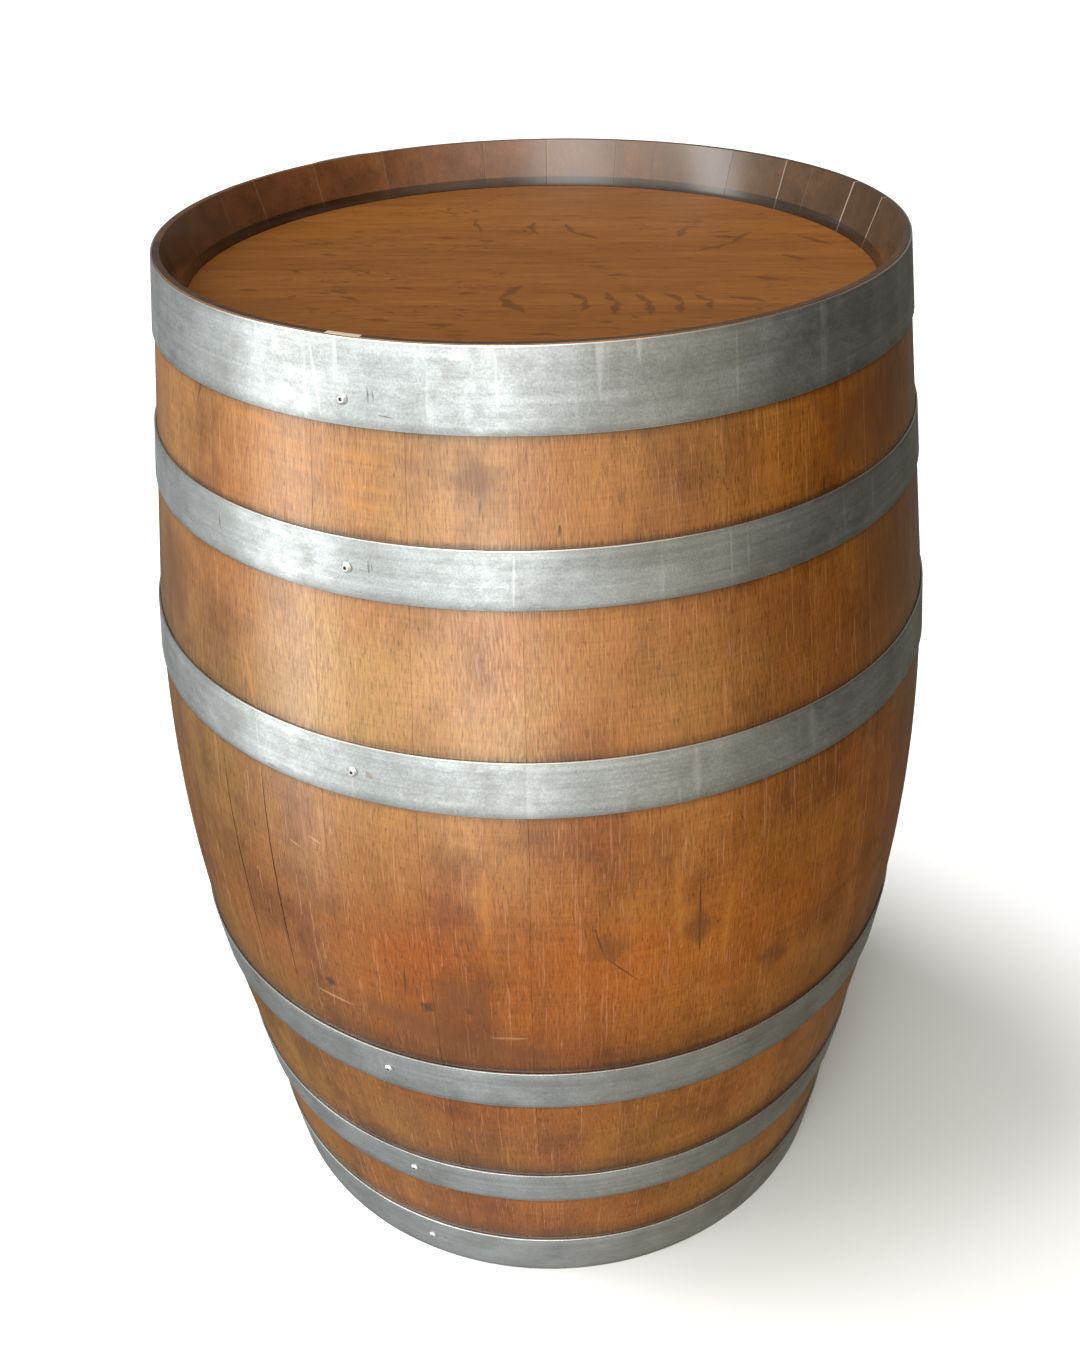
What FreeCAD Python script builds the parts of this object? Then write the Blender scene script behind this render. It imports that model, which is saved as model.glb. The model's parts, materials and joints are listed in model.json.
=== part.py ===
"""A 225 litre oak wine barrel: bent staves, two dowelled heads, six riveted hoops and a bung.

The frame has +Z up, with its origin at the middle of the foot. All sizes are in millimetres
and all angles in degrees. An azimuth is counted from +X towards +Y.
"""

import FreeCAD, Part
import math
import os
import Sketcher

Vector = FreeCAD.Vector
ORIGIN = (-1, 1)          # a sketch's origin, as a constraint names it
LEVEL_AXIS = -1           # a sketch's horizontal axis
START = 1                 # the first point of a line or an arc
END = 2                   # the last point of a line or an arc
CENTRE = 3                # the centre of an arc

SIZES = {
    # the bent body
    "overall_height": 950,
    "bilge_diameter": 705,
    "bend_radius": 1430,
    "bend_half_length": 210,      # the bend runs this far above and below the bilge
    "stave_thickness": 26,
    "joint_gap_angle": 0.02,      # between neighbouring staves
    # the chime, where the staves stand past the heads
    "rim_width": 5,
    "chime_bevel_depth": 32.5,
    "chime_bevel_radius": 281.8,
    "head_recess": 41,
    "land_radius": 279.2,
    "croze_depth": 6,
    "croze_width": 6.2,
    # the heads
    "head_thickness": 22,
    "head_tongue": 6,
    "head_tongue_radius": 284.9,
    "head_shoulder_radius": 278,
    "head_bevel_run": 13,
    "board_gap": 0.1,
    "dowel_radius": 4,
    "dowel_length": 40,
    "dowel_hole_radius": 4.1,
    "dowel_hole_length": 42,
    # the hoops
    "hoop_thickness": 1.6,
    "chime_hoop_middle": 29.4,
    "chime_hoop_width": 58,
    "quarter_hoop_middle": 156.2,
    "quarter_hoop_width": 43.4,
    "bilge_hoop_middle": 315.6,
    "bilge_hoop_width": 46.8,
    "hoop_lap_angle": 10,
    "fit_gap": 0.15,              # between pieces that lie on each other
    # rivets through the hoops' laps
    "rivet_radius": 2.9,
    "rivet_hole_radius": 3,
    "rivet_head_radius": 6,
    "rivet_head_height": 2.6,
    "rivet_angle": 2.4,           # from the lap's middle to each rivet
    # screws that hold the hoops to one stave
    "screw_azimuth": -114.4,
    "top_screw_drop": 11,         # of the top hoop's screw below the hoop's middle, down the slope
    "screw_radius": 2,
    "screw_hole_radius": 2.1,
    "screw_length": 18,
    "screw_hole_length": 20,
    "screw_head_radius": 4.1,
    "screw_head_height": 2.2,
    "screw_head_edge": 0.8,       # height of the head's upright edge
    "screw_recess_width": 2.4,
    "screw_recess_depth": 1.3,
    # the bung and its hole
    "bung_hole_inner_radius": 25,
    "bung_hole_outer_radius": 27,
    "bung_clearance": 0.25,
    "bung_proud": 8,
    "bung_inside": 4,
    "bung_edge": 1.5,
}

FIRST_JOINT = -202        # azimuth of the first stave's first edge
STAVE_WIDTHS = [
    15, 14, 11.5, 13.5, 11, 7.7, 10, 13.3, 13.5, 12.5,
    14, 13.5, 11.5, 14, 10, 12.5, 11, 11, 12.2, 6.7,
    12.6, 16, 7.7, 13.7, 12.3, 12.3, 8, 14.6, 14.4,
]                         # each in degrees; the last stave closes the ring
SCREW_STAVE = 8
BUNG_STAVE = 24
BOARD_WIDTHS = [88, 104, 92, 98, 106]  # across a head; the last board takes the rest
DOWELS_PER_JOINT = 3
HOOPS = ("chime", "quarter", "bilge")
LAP_AZIMUTH = {"top": 128, "bottom": 52}
HEAD_TURN = {"top": -5, "bottom": 9}   # of the boards' direction, from +X

doc = FreeCAD.newDocument("WineBarrel")
sheet = doc.addObject("Spreadsheet::Sheet", "Sizes")
nodes = []                # the sub-parts that are written


def number_name(word, number):
    return f"{word}_{number:02d}"


def fill_sheet():
    """Writes the driving sizes, the staves' joints and the boards' joints into the sheet."""
    values = dict(SIZES)
    joint = FIRST_JOINT
    for number, width in enumerate(STAVE_WIDTHS + [0], 1):
        values[number_name("joint", number)] = joint
        joint += width
    board_edge = -SIZES["head_tongue_radius"]
    for number, width in enumerate(BOARD_WIDTHS + [0], 1):
        values[number_name("board_edge", number)] = board_edge
        board_edge += width
    values[number_name("board_edge", len(BOARD_WIDTHS) + 2)] = SIZES["head_tongue_radius"]
    for row, (alias, value) in enumerate(values.items(), 1):
        sheet.set(f"A{row}", alias)
        sheet.set(f"B{row}", f"{value:.6g}")
        sheet.setAlias(f"B{row}", alias)
    doc.recompute()


def size(alias):
    return float(getattr(sheet, alias))


# ---------------------------------------------------------------- expressions

HALF_HEIGHT = "Sizes.overall_height / 2"
BEND_ANGLE = "asin(Sizes.bend_half_length / Sizes.bend_radius)"


def turned(azimuth):
    """The placement that turns a sub-part about the barrel's axis to an azimuth."""
    return f"placement(vector(0; 0; 0); rotation(vector(0; 0; 1); {azimuth}))"


def hoop_offset(hoop):
    return f"({HALF_HEIGHT} - Sizes.{hoop}_hoop_middle)"


def hoop_tilt(hoop):
    """How far the stave's surface leans inwards at the middle of a hoop."""
    offset = hoop_offset(hoop)
    return f"({offset} < Sizes.bend_half_length ? asin({offset} / Sizes.bend_radius) : {BEND_ANGLE})"


def hoop_seat_radius(hoop):
    """The radius of a hoop's inner face at its middle, just clear of the staves."""
    offset = hoop_offset(hoop)
    bent = f"sqrt(Sizes.bend_radius ^ 2 - {offset} ^ 2)"
    straight = (
        f"Sizes.bend_radius * cos({BEND_ANGLE})"
        f" - ({offset} - Sizes.bend_half_length) * tan({BEND_ANGLE})"
    )
    rise = f"({offset} < Sizes.bend_half_length ? {bent} : {straight})"
    return f"(Sizes.bilge_diameter / 2 - Sizes.bend_radius + {rise} + Sizes.fit_gap)"


def hoop_height(hoop, end):
    middle = f"Sizes.{hoop}_hoop_middle"
    return f"(Sizes.overall_height - {middle})" if end == "top" else middle


def on_hoop(hoop, end, azimuth, outward, inset="0"):
    """The placement of a fastener square to a hoop, with its own Z pointing outwards.

    The inset moves it from the hoop's middle, down the slope towards the bilge.
    """
    lean = "-" if end == "top" else "+"
    tilt = hoop_tilt(hoop)
    radius = f"{hoop_seat_radius(hoop)} + ({outward}) * cos({tilt}) + {inset} * sin({tilt})"
    rise, fall = ("+", "-") if end == "top" else ("-", "+")
    height = f"{hoop_height(hoop, end)} {rise} ({outward}) * sin({tilt}) {fall} {inset} * cos({tilt})"
    return (
        f"{turned(azimuth)} * placement(vector({radius}; 0; {height});"
        f" rotation(vector(0; 1; 0); 90 {lean} {tilt} / 1 deg))"
    )


# ---------------------------------------------------------------- sketches

def new_body(name, placement=None):
    body = doc.addObject("PartDesign::Body", name)
    body.Label = name
    if placement:
        body.setExpression("Placement", placement)
    return body


def origin_feature(body, role):
    return next(item for item in body.Origin.OriginFeatures if item.Role == role)


def new_sketch(body, name, offset):
    """A sketch on the body's XZ plane: its x is a radius and its y is a height."""
    sketch = body.newObject("Sketcher::SketchObject", f"{body.Name}_{name}")
    sketch.AttachmentSupport = [(origin_feature(body, "XZ_Plane"), "")]
    sketch.MapMode = "FlatFace"
    sketch.setExpression("AttachmentOffset", offset)
    return sketch


def lifted(height):
    return f"placement(vector(0; {height}; 0); rotation(vector(0; 0; 1); 0))"


def add_lines(sketch, points):
    """Adds lines through the points, joined end to end, and returns their numbers."""
    lines = []
    for first, last in zip(points, points[1:]):
        line = Part.LineSegment(Vector(*first, 0), Vector(*last, 0))
        lines.append(sketch.addGeometry(line))
    for before, after in zip(lines, lines[1:]):
        sketch.addConstraint(Sketcher.Constraint("Coincident", before, END, after, START))
    return lines


def close(sketch, lines):
    sketch.addConstraint(Sketcher.Constraint("Coincident", lines[-1], END, lines[0], START))


def bind(sketch, constraint, expression):
    number = sketch.addConstraint(constraint)
    sketch.setExpression(f"Constraints[{number}]", expression)


def bind_x(sketch, line, point, expression):
    """Holds a point's distance to the right of the sketch's origin."""
    value = sketch.getPoint(line, point).x
    bind(sketch, Sketcher.Constraint("DistanceX", *ORIGIN, line, point, value), expression)


def bind_y(sketch, line, point, expression):
    """Holds a point's height above the sketch's origin."""
    value = sketch.getPoint(line, point).y
    bind(sketch, Sketcher.Constraint("DistanceY", *ORIGIN, line, point, value), expression)


def hold_all(sketch, lines, expressions):
    """Holds the end of each line at an (x, y) pair of expressions; None leaves it on an axis."""
    for line, (across, up) in zip(lines, expressions):
        if across is None:
            sketch.addConstraint(Sketcher.Constraint("PointOnObject", line, END, -2))
        else:
            bind_x(sketch, line, END, across)
        if up is None:
            sketch.addConstraint(Sketcher.Constraint("PointOnObject", line, END, LEVEL_AXIS))
        else:
            bind_y(sketch, line, END, up)


def revolve(body, sketch, kind, angle, axis=None):
    """Turns a sketch about an axis, by default the body's own Z axis."""
    turn = body.newObject(f"PartDesign::{kind}", f"{sketch.Name}_{kind.lower()}")
    turn.Profile = sketch
    turn.ReferenceAxis = axis or (origin_feature(body, "Z_Axis"), [""])
    turn.Midplane = True
    turn.setExpression("Angle", angle)
    sketch.Visibility = False
    return turn


# ---------------------------------------------------------------- staves

def stave_end_points():
    """The upper end of a stave's section, from the outer bend to the inner one."""
    bend = math.asin(size("bend_half_length") / size("bend_radius"))
    centre = size("bilge_diameter") / 2 - size("bend_radius")
    inner_bend = size("bend_radius") - size("stave_thickness")
    half_height = size("overall_height") / 2
    face = half_height - size("head_recess")
    groove = face - size("croze_width")
    outer_bend_x = centre + size("bend_radius") * math.cos(bend)
    inner_bend_x = centre + inner_bend * math.cos(bend)
    inner_bend_y = inner_bend * math.sin(bend)
    end_x = outer_bend_x - (half_height - size("bend_half_length")) * math.tan(bend)
    wall_x = inner_bend_x - (groove - inner_bend_y) * math.tan(bend)
    groove_x = size("land_radius") + size("croze_depth")
    return [
        (outer_bend_x, size("bend_half_length")),
        (end_x, half_height),
        (end_x - size("rim_width"), half_height),
        (size("chime_bevel_radius"), half_height - size("chime_bevel_depth")),
        (size("land_radius"), face),
        (groove_x, face),
        (groove_x, groove),
        (wall_x, groove),
        (inner_bend_x, inner_bend_y),
    ]


def stave_section(body):
    """The stave cut along its length: a bend with straight tapers, a chime and crozes."""
    sketch = new_sketch(body, "section", lifted(HALF_HEIGHT))
    bend = math.asin(size("bend_half_length") / size("bend_radius"))
    centre = Vector(size("bilge_diameter") / 2 - size("bend_radius"), 0, 0)
    upright = Vector(0, 0, 1)
    arcs = []
    for radius in (size("bend_radius"), size("bend_radius") - size("stave_thickness")):
        circle = Part.Circle(centre, upright, radius)
        arcs.append(sketch.addGeometry(Part.ArcOfCircle(circle, -bend, bend)))
    outer, inner = arcs
    points = stave_end_points()
    top = add_lines(sketch, points)
    bottom = add_lines(sketch, [(x, -y) for x, y in points])
    taper, rim, bevel, land, roof, groove, floor, wall = top

    # both faces of the bend share its centre
    bind(sketch, Sketcher.Constraint("DistanceX", outer, CENTRE, *ORIGIN, -centre.x),
         "Sizes.bend_radius - Sizes.bilge_diameter / 2")
    sketch.addConstraint(Sketcher.Constraint("Coincident", outer, CENTRE, inner, CENTRE))
    bind(sketch, Sketcher.Constraint("Radius", outer, size("bend_radius")), "Sizes.bend_radius")
    bind(sketch, Sketcher.Constraint("Radius", inner, size("bend_radius") - size("stave_thickness")),
         "Sizes.bend_radius - Sizes.stave_thickness")

    # the upper end
    bind_y(sketch, taper, START, "Sizes.bend_half_length")
    sketch.addConstraint(Sketcher.Constraint("Tangent", taper, START, outer, END))
    bind_y(sketch, taper, END, HALF_HEIGHT)
    sketch.addConstraint(Sketcher.Constraint("Horizontal", rim))
    bind(sketch, Sketcher.Constraint("DistanceX", rim, END, rim, START, size("rim_width")),
         "Sizes.rim_width")
    face = f"{HALF_HEIGHT} - Sizes.head_recess"
    hold_all(sketch, [bevel, land], [
        ("Sizes.chime_bevel_radius", f"{HALF_HEIGHT} - Sizes.chime_bevel_depth"),
        ("Sizes.land_radius", face),
    ])
    for level in (roof, floor):
        sketch.addConstraint(Sketcher.Constraint("Horizontal", level))
    sketch.addConstraint(Sketcher.Constraint("Vertical", groove))
    bind_x(sketch, groove, START, "Sizes.land_radius + Sizes.croze_depth")
    bind_y(sketch, groove, END, f"{face} - Sizes.croze_width")
    sketch.addConstraint(Sketcher.Constraint("Tangent", wall, END, inner, END))
    sketch.addConstraint(Sketcher.Constraint("Parallel", wall, taper))

    # the lower end mirrors it
    mirrored = Sketcher.Constraint("Symmetric", taper, START, bottom[0], START, LEVEL_AXIS)
    sketch.addConstraint(mirrored)
    for upper, lower in zip(top[:-1], bottom[:-1]):
        mirrored = Sketcher.Constraint("Symmetric", upper, END, lower, END, LEVEL_AXIS)
        sketch.addConstraint(mirrored)
    sketch.addConstraint(Sketcher.Constraint("Coincident", bottom[0], START, outer, START))
    sketch.addConstraint(Sketcher.Constraint("Tangent", bottom[-1], END, inner, START))
    return sketch


def make_bung_hole(body):
    """Bores the tapered bunghole square through the stave at the bilge."""
    sketch = new_sketch(body, "hole", lifted(HALF_HEIGHT))
    outer = size("bilge_diameter") / 2
    inner = outer - size("stave_thickness")
    bore = (size("bung_hole_inner_radius"), size("bung_hole_outer_radius"))
    lines = add_lines(sketch, [(inner, 0), (inner, bore[0]), (outer, bore[1]), (outer, 0), (inner, 0)])
    close(sketch, lines)
    hold_all(sketch, lines, [
        ("Sizes.bilge_diameter / 2 - Sizes.stave_thickness - Sizes.bung_inside",
         "Sizes.bung_hole_inner_radius"),
        ("Sizes.bilge_diameter / 2 + Sizes.bung_inside", "Sizes.bung_hole_outer_radius"),
        ("Sizes.bilge_diameter / 2 + Sizes.bung_inside", None),
        ("Sizes.bilge_diameter / 2 - Sizes.stave_thickness - Sizes.bung_inside", None),
    ])
    revolve(body, sketch, "Groove", "360", (sketch, ["H_Axis"]))


def make_stave(number):
    """One stave, turned to the middle of its two joints."""
    first = f"Sizes.{number_name('joint', number)}"
    if number <= len(STAVE_WIDTHS):
        last = f"Sizes.{number_name('joint', number + 1)}"
    else:
        last = f"(Sizes.{number_name('joint', 1)} + 360)"
    name = "bung_stave" if number == BUNG_STAVE else number_name("stave", number)
    body = new_body(name, turned(f"({first} + {last}) / 2"))
    revolve(body, stave_section(body), "Revolution", f"{last} - {first} - Sizes.joint_gap_angle")
    if number == BUNG_STAVE:
        make_bung_hole(body)
    return body


# ---------------------------------------------------------------- tools and groups

def cylinder(name, radius, height, placement):
    pin = doc.addObject("Part::Cylinder", name)
    pin.setExpression("Radius", radius)
    pin.setExpression("Height", height)
    pin.setExpression("Placement", placement)
    return pin


def group(name, pieces):
    """Several separate solids as one object."""
    bunch = doc.addObject("Part::Compound", name)
    bunch.Links = pieces
    bunch.Label = name
    return bunch


def drilled(base, name, tools):
    """The base with its holes bored; it takes over the base's name."""
    base.Label = f"{name}_blank"
    result = doc.addObject("Part::Cut", f"{name}_drilled")
    result.Base = base
    result.Tool = group(f"{name}_drills", tools)
    result.Label = name
    return result


def copies(name, master, placements):
    """A group of copies of one master piece."""
    links = []
    for number, placement in enumerate(placements, 1):
        link = doc.addObject("App::Link", f"{name}_{number}")
        link.LinkedObject = master
        link.setExpression("Placement", placement)
        links.append(link)
    return group(name, links)


# ---------------------------------------------------------------- hoops

def hoop_strip(body, hoop, end, layer, angle):
    """One layer of a hoop's flat strip, lying on the slope of the staves."""
    seat = f"{hoop_seat_radius(hoop)} + {layer} * Sizes.hoop_thickness * cos({hoop_tilt(hoop)})"
    rise = "+" if end == "top" else "-"
    height = f"{hoop_height(hoop, end)} {rise} {layer} * Sizes.hoop_thickness * sin({hoop_tilt(hoop)})"
    lean = f"{rise} {hoop_tilt(hoop)}"
    offset = f"placement(vector({seat}; {height}; 0); rotation(vector(0; 0; 1); 0 deg {lean}))"
    sketch = new_sketch(body, f"layer_{layer}", offset)
    thick = size("hoop_thickness")
    half = size(f"{hoop}_hoop_width") / 2
    lines = add_lines(sketch, [(0, -half), (thick, -half), (thick, half), (0, half), (0, -half)])
    close(sketch, lines)
    foot, outside, head, inside = lines
    for level in (foot, head):
        sketch.addConstraint(Sketcher.Constraint("Horizontal", level))
    for upright in (outside, inside):
        sketch.addConstraint(Sketcher.Constraint("Vertical", upright))
    sketch.addConstraint(Sketcher.Constraint("Symmetric", inside, START, inside, END, *ORIGIN))
    bind(sketch, Sketcher.Constraint("Distance", outside, 2 * half), f"Sizes.{hoop}_hoop_width")
    bind(sketch, Sketcher.Constraint("Distance", foot, thick), "Sizes.hoop_thickness")
    revolve(body, sketch, "Revolution", angle)


def rivet_azimuths(end):
    return [f"{LAP_AZIMUTH[end]} {side} Sizes.rivet_angle" for side in ("-", "+")]


def screw_place(hoop, end, outward):
    inset = "Sizes.top_screw_drop" if (hoop, end) == ("chime", "top") else "0"
    return on_hoop(hoop, end, "Sizes.screw_azimuth", outward, inset)


def make_hoop(hoop, end):
    """A riveted hoop, drilled for its rivets and its screw."""
    name = f"{end}_{hoop}_hoop"
    body = new_body(name, turned(LAP_AZIMUTH[end]))
    hoop_strip(body, hoop, end, 0, "360")
    hoop_strip(body, hoop, end, 1, "Sizes.hoop_lap_angle")
    reach = "3 * Sizes.hoop_thickness"
    start = "-Sizes.hoop_thickness / 2"
    drills = []
    for number, azimuth in enumerate(rivet_azimuths(end), 1):
        placement = on_hoop(hoop, end, azimuth, start)
        drills.append(cylinder(f"{name}_rivet_drill_{number}", "Sizes.rivet_hole_radius", reach, placement))
    placement = screw_place(hoop, end, start)
    drills.append(cylinder(f"{name}_screw_drill", "Sizes.screw_hole_radius", reach, placement))
    return drilled(body, name, drills)


def make_rivet():
    """A rivet with a shank through both layers and a domed head; its own Z points outwards."""
    body = new_body("rivet_master")
    sketch = new_sketch(body, "section", lifted("0"))
    shank = size("rivet_radius")
    seat = 2 * size("hoop_thickness") + size("fit_gap")
    brim = size("rivet_head_radius")
    crown = seat + size("rivet_head_height")
    points = [(0, 0), (shank, 0), (shank, seat), (brim, seat)]
    lines = add_lines(sketch, points)
    dome = Part.Arc(Vector(brim, seat, 0), Vector(brim * 0.6, seat + (crown - seat) * 0.75, 0),
                    Vector(0, crown, 0))
    arc = sketch.addGeometry(dome)
    axis = sketch.addGeometry(Part.LineSegment(Vector(0, crown, 0), Vector(0, 0, 0)))
    for before, after in ((lines[-1], arc), (arc, axis), (axis, lines[0])):
        sketch.addConstraint(Sketcher.Constraint("Coincident", before, END, after, START))
    sketch.addConstraint(Sketcher.Constraint("Coincident", lines[0], START, *ORIGIN))
    head_face = "2 * Sizes.hoop_thickness + Sizes.fit_gap"
    hold_all(sketch, lines, [
        ("Sizes.rivet_radius", None),
        ("Sizes.rivet_radius", head_face),
        ("Sizes.rivet_head_radius", head_face),
    ])
    sketch.addConstraint(Sketcher.Constraint("PointOnObject", arc, CENTRE, -2))
    sketch.addConstraint(Sketcher.Constraint("PointOnObject", arc, END, -2))
    bind_y(sketch, arc, END, f"{head_face} + Sizes.rivet_head_height")
    revolve(body, sketch, "Revolution", "360")
    return body


def make_screw():
    """A pan-head screw with a square recess; its own Z points outwards from under the head."""
    body = new_body("screw_master")
    sketch = new_sketch(body, "section", lifted("0"))
    shank = size("screw_radius")
    brim = size("screw_head_radius")
    edge = size("screw_head_edge")
    crown = size("screw_head_height")
    length = size("screw_length")
    lines = add_lines(sketch, [
        (0, -length), (shank, -length + 2 * shank), (shank, 0), (brim, 0), (brim, edge),
        (brim * 0.6, crown), (0, crown), (0, -length),
    ])
    close(sketch, lines)
    hold_all(sketch, lines[1:-1], [
        ("Sizes.screw_radius", None),
        ("Sizes.screw_head_radius", None),
        ("Sizes.screw_head_radius", "Sizes.screw_head_edge"),
        ("Sizes.screw_head_radius * 0.6", "Sizes.screw_head_height"),
        (None, "Sizes.screw_head_height"),
    ])
    sketch.addConstraint(Sketcher.Constraint("Vertical", lines[1]))
    tip = lines[0]
    bind(sketch, Sketcher.Constraint("DistanceY", tip, END, *ORIGIN, length - 2 * shank),
         "Sizes.screw_length - 2 * Sizes.screw_radius")
    bind(sketch, Sketcher.Constraint("DistanceY", tip, START, *ORIGIN, length), "Sizes.screw_length")
    sketch.addConstraint(Sketcher.Constraint("PointOnObject", tip, START, -2))
    revolve(body, sketch, "Revolution", "360")

    recess = doc.addObject("Part::Box", "screw_recess")
    for side in ("Length", "Width"):
        recess.setExpression(side, "Sizes.screw_recess_width")
    recess.setExpression("Height", "2 * Sizes.screw_recess_depth")
    corner = "-Sizes.screw_recess_width / 2"
    depth = "Sizes.screw_head_height - Sizes.screw_recess_depth"
    recess.setExpression("Placement", f"placement(vector({corner}; {corner}; {depth}); rotation(vector(0; 0; 1); 0))")
    screw = doc.addObject("Part::Cut", "screw_with_recess")
    screw.Base = body
    screw.Tool = recess
    return screw


def all_hoops():
    return [(hoop, end) for end in ("top", "bottom") for hoop in HOOPS]


def screw_places(outward):
    return [screw_place(hoop, end, outward) for hoop, end in all_hoops()]


# ---------------------------------------------------------------- heads

def level(depth, end):
    """The height of a place that lies some depth in from an end of the barrel."""
    return f"(Sizes.overall_height - ({depth}))" if end == "top" else f"({depth})"


def head_disc(end):
    """A whole head before it is parted into boards: tongue, shoulder and bevelled inner edge."""
    body = new_body(f"{end}_head_disc")
    sketch = new_sketch(body, "section", lifted("0"))
    depths = ["Sizes.head_recess + Sizes.fit_gap / 2"] * 2
    depths += ["Sizes.head_recess + Sizes.fit_gap / 2 + Sizes.head_tongue - Sizes.fit_gap"] * 2
    depths += ["Sizes.head_recess + Sizes.head_thickness"] * 2
    radii = [
        None, "Sizes.head_tongue_radius", "Sizes.head_tongue_radius", "Sizes.head_shoulder_radius",
        "Sizes.head_shoulder_radius - Sizes.head_bevel_run", None,
    ]
    recess = size("head_recess")
    thick = size("head_thickness")
    shoulder = size("head_shoulder_radius")
    rough = [
        (0, recess), (shoulder + 6, recess), (shoulder + 6, recess + 6), (shoulder, recess + 6),
        (shoulder - 13, recess + thick), (0, recess + thick),
    ]
    if end == "top":
        rough = [(x, size("overall_height") - y) for x, y in rough]
    lines = add_lines(sketch, rough[-1:] + rough)
    close(sketch, lines)
    hold_all(sketch, lines, [(radius, level(depth, end)) for radius, depth in zip(radii, depths)])
    revolve(body, sketch, "Revolution", "360")
    return body


def board_edge(number):
    return f"Sizes.{number_name('board_edge', number)}"


def dowel_places(joint, end, length):
    """The placements of the dowels across one joint between two boards."""
    middle = level("Sizes.head_recess + Sizes.head_thickness / 2", end)
    chord = f"sqrt(Sizes.head_shoulder_radius ^ 2 - {board_edge(joint)} ^ 2)"
    start = f"{board_edge(joint)} + {length} / 2"
    places = []
    for number in range(DOWELS_PER_JOINT):
        share = 2 * (number + 0.5) / DOWELS_PER_JOINT - 1
        across = f"{share:.4f} * {chord}"
        place = f"placement(vector({across}; {start}; {middle}); rotation(vector(1; 0; 0); 90))"
        places.append(f"{turned(HEAD_TURN[end])} * {place}")
    return places


def dowels(end, purpose, radius, length):
    pins = []
    for joint in range(2, len(BOARD_WIDTHS) + 2):
        for place in dowel_places(joint, end, length):
            pins.append(cylinder(f"{end}_{purpose}_{len(pins) + 1}", radius, length, place))
    return pins


def make_head(end):
    """The boards of one head, drilled for their dowels, and the dowels."""
    disc = head_disc(end)
    drills = group(f"{end}_dowel_drills",
                   dowels(end, "drill", "Sizes.dowel_hole_radius", "Sizes.dowel_hole_length"))
    boards = []
    for number in range(1, len(BOARD_WIDTHS) + 2):
        name = f"{end}_head_board_{number}"
        strip = doc.addObject("Part::Box", f"{name}_strip")
        strip.setExpression("Length", "2 * Sizes.land_radius + 4 * Sizes.croze_depth")
        strip.setExpression("Width", f"{board_edge(number + 1)} - {board_edge(number)} - Sizes.board_gap")
        strip.setExpression("Height", "2 * Sizes.head_thickness")
        corner = (
            f"vector(-Sizes.land_radius - 2 * Sizes.croze_depth;"
            f" {board_edge(number)} + Sizes.board_gap / 2;"
            f" {level('Sizes.head_recess + Sizes.head_thickness / 2', end)} - Sizes.head_thickness)"
        )
        place = f"placement({corner}; rotation(vector(0; 0; 1); 0))"
        strip.setExpression("Placement", f"{turned(HEAD_TURN[end])} * {place}")
        blank = doc.addObject("Part::Common", f"{name}_blank")
        blank.Base = disc
        blank.Tool = strip
        board = doc.addObject("Part::Cut", f"{name}_drilled")
        board.Base = blank
        board.Tool = drills
        board.Label = name
        boards.append(board)
    pins = dowels(end, "dowel", "Sizes.dowel_radius", "Sizes.dowel_length")
    return boards + [group(f"{end}_head_dowels", pins)]


# ---------------------------------------------------------------- bung

def make_bung():
    """A turned, tapered bung with eased edges, square to the bung stave."""
    first = number_name("joint", BUNG_STAVE)
    last = number_name("joint", BUNG_STAVE + 1)
    body = new_body("bung", turned(f"(Sizes.{first} + Sizes.{last}) / 2"))
    sketch = new_sketch(body, "section", lifted(HALF_HEIGHT))
    edge = size("bung_edge")
    outer = size("bilge_diameter") / 2 + size("bung_proud")
    inner = size("bilge_diameter") / 2 - size("stave_thickness") - size("bung_inside")
    small = size("bung_hole_inner_radius")
    large = size("bung_hole_outer_radius")
    lines = add_lines(sketch, [
        (inner, 0), (inner, small - edge), (inner + edge, small), (outer - edge, large),
        (outer, large - edge), (outer, 0), (inner, 0),
    ])
    close(sketch, lines)
    near = "Sizes.bilge_diameter / 2 - Sizes.stave_thickness - Sizes.bung_inside"
    far = "Sizes.bilge_diameter / 2 + Sizes.bung_proud"
    slim = "Sizes.bung_hole_inner_radius - Sizes.bung_clearance"
    stout = "Sizes.bung_hole_outer_radius - Sizes.bung_clearance"
    hold_all(sketch, lines, [
        (near, f"{slim} - Sizes.bung_edge"),
        (f"{near} + Sizes.bung_edge", slim),
        (f"{far} - Sizes.bung_edge", stout),
        (far, f"{stout} - Sizes.bung_edge"),
        (far, None),
        (near, None),
    ])
    revolve(body, sketch, "Revolution", "360", (sketch, ["H_Axis"]))
    return body


# ---------------------------------------------------------------- the whole barrel

def build():
    fill_sheet()
    for number in range(1, len(STAVE_WIDTHS) + 2):
        stave = make_stave(number)
        if number == SCREW_STAVE:
            places = screw_places("-Sizes.screw_hole_length")
            drills = [
                cylinder(f"pilot_{count}", "Sizes.screw_hole_radius", "2 * Sizes.screw_hole_length", place)
                for count, place in enumerate(places, 1)
            ]
            stave = drilled(stave, stave.Label, drills)
        nodes.append(stave)
    for hoop, end in all_hoops():
        nodes.append(make_hoop(hoop, end))
    for end in ("top", "bottom"):
        nodes.extend(make_head(end))
    rivet_places = [
        on_hoop(hoop, end, azimuth, "0") for hoop, end in all_hoops() for azimuth in rivet_azimuths(end)
    ]
    nodes.append(copies("hoop_rivets", make_rivet(), rivet_places))
    under_head = "Sizes.hoop_thickness + Sizes.fit_gap / 3"
    nodes.append(copies("hoop_screws", make_screw(), screw_places(under_head)))
    nodes.append(make_bung())
    doc.recompute()


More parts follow.
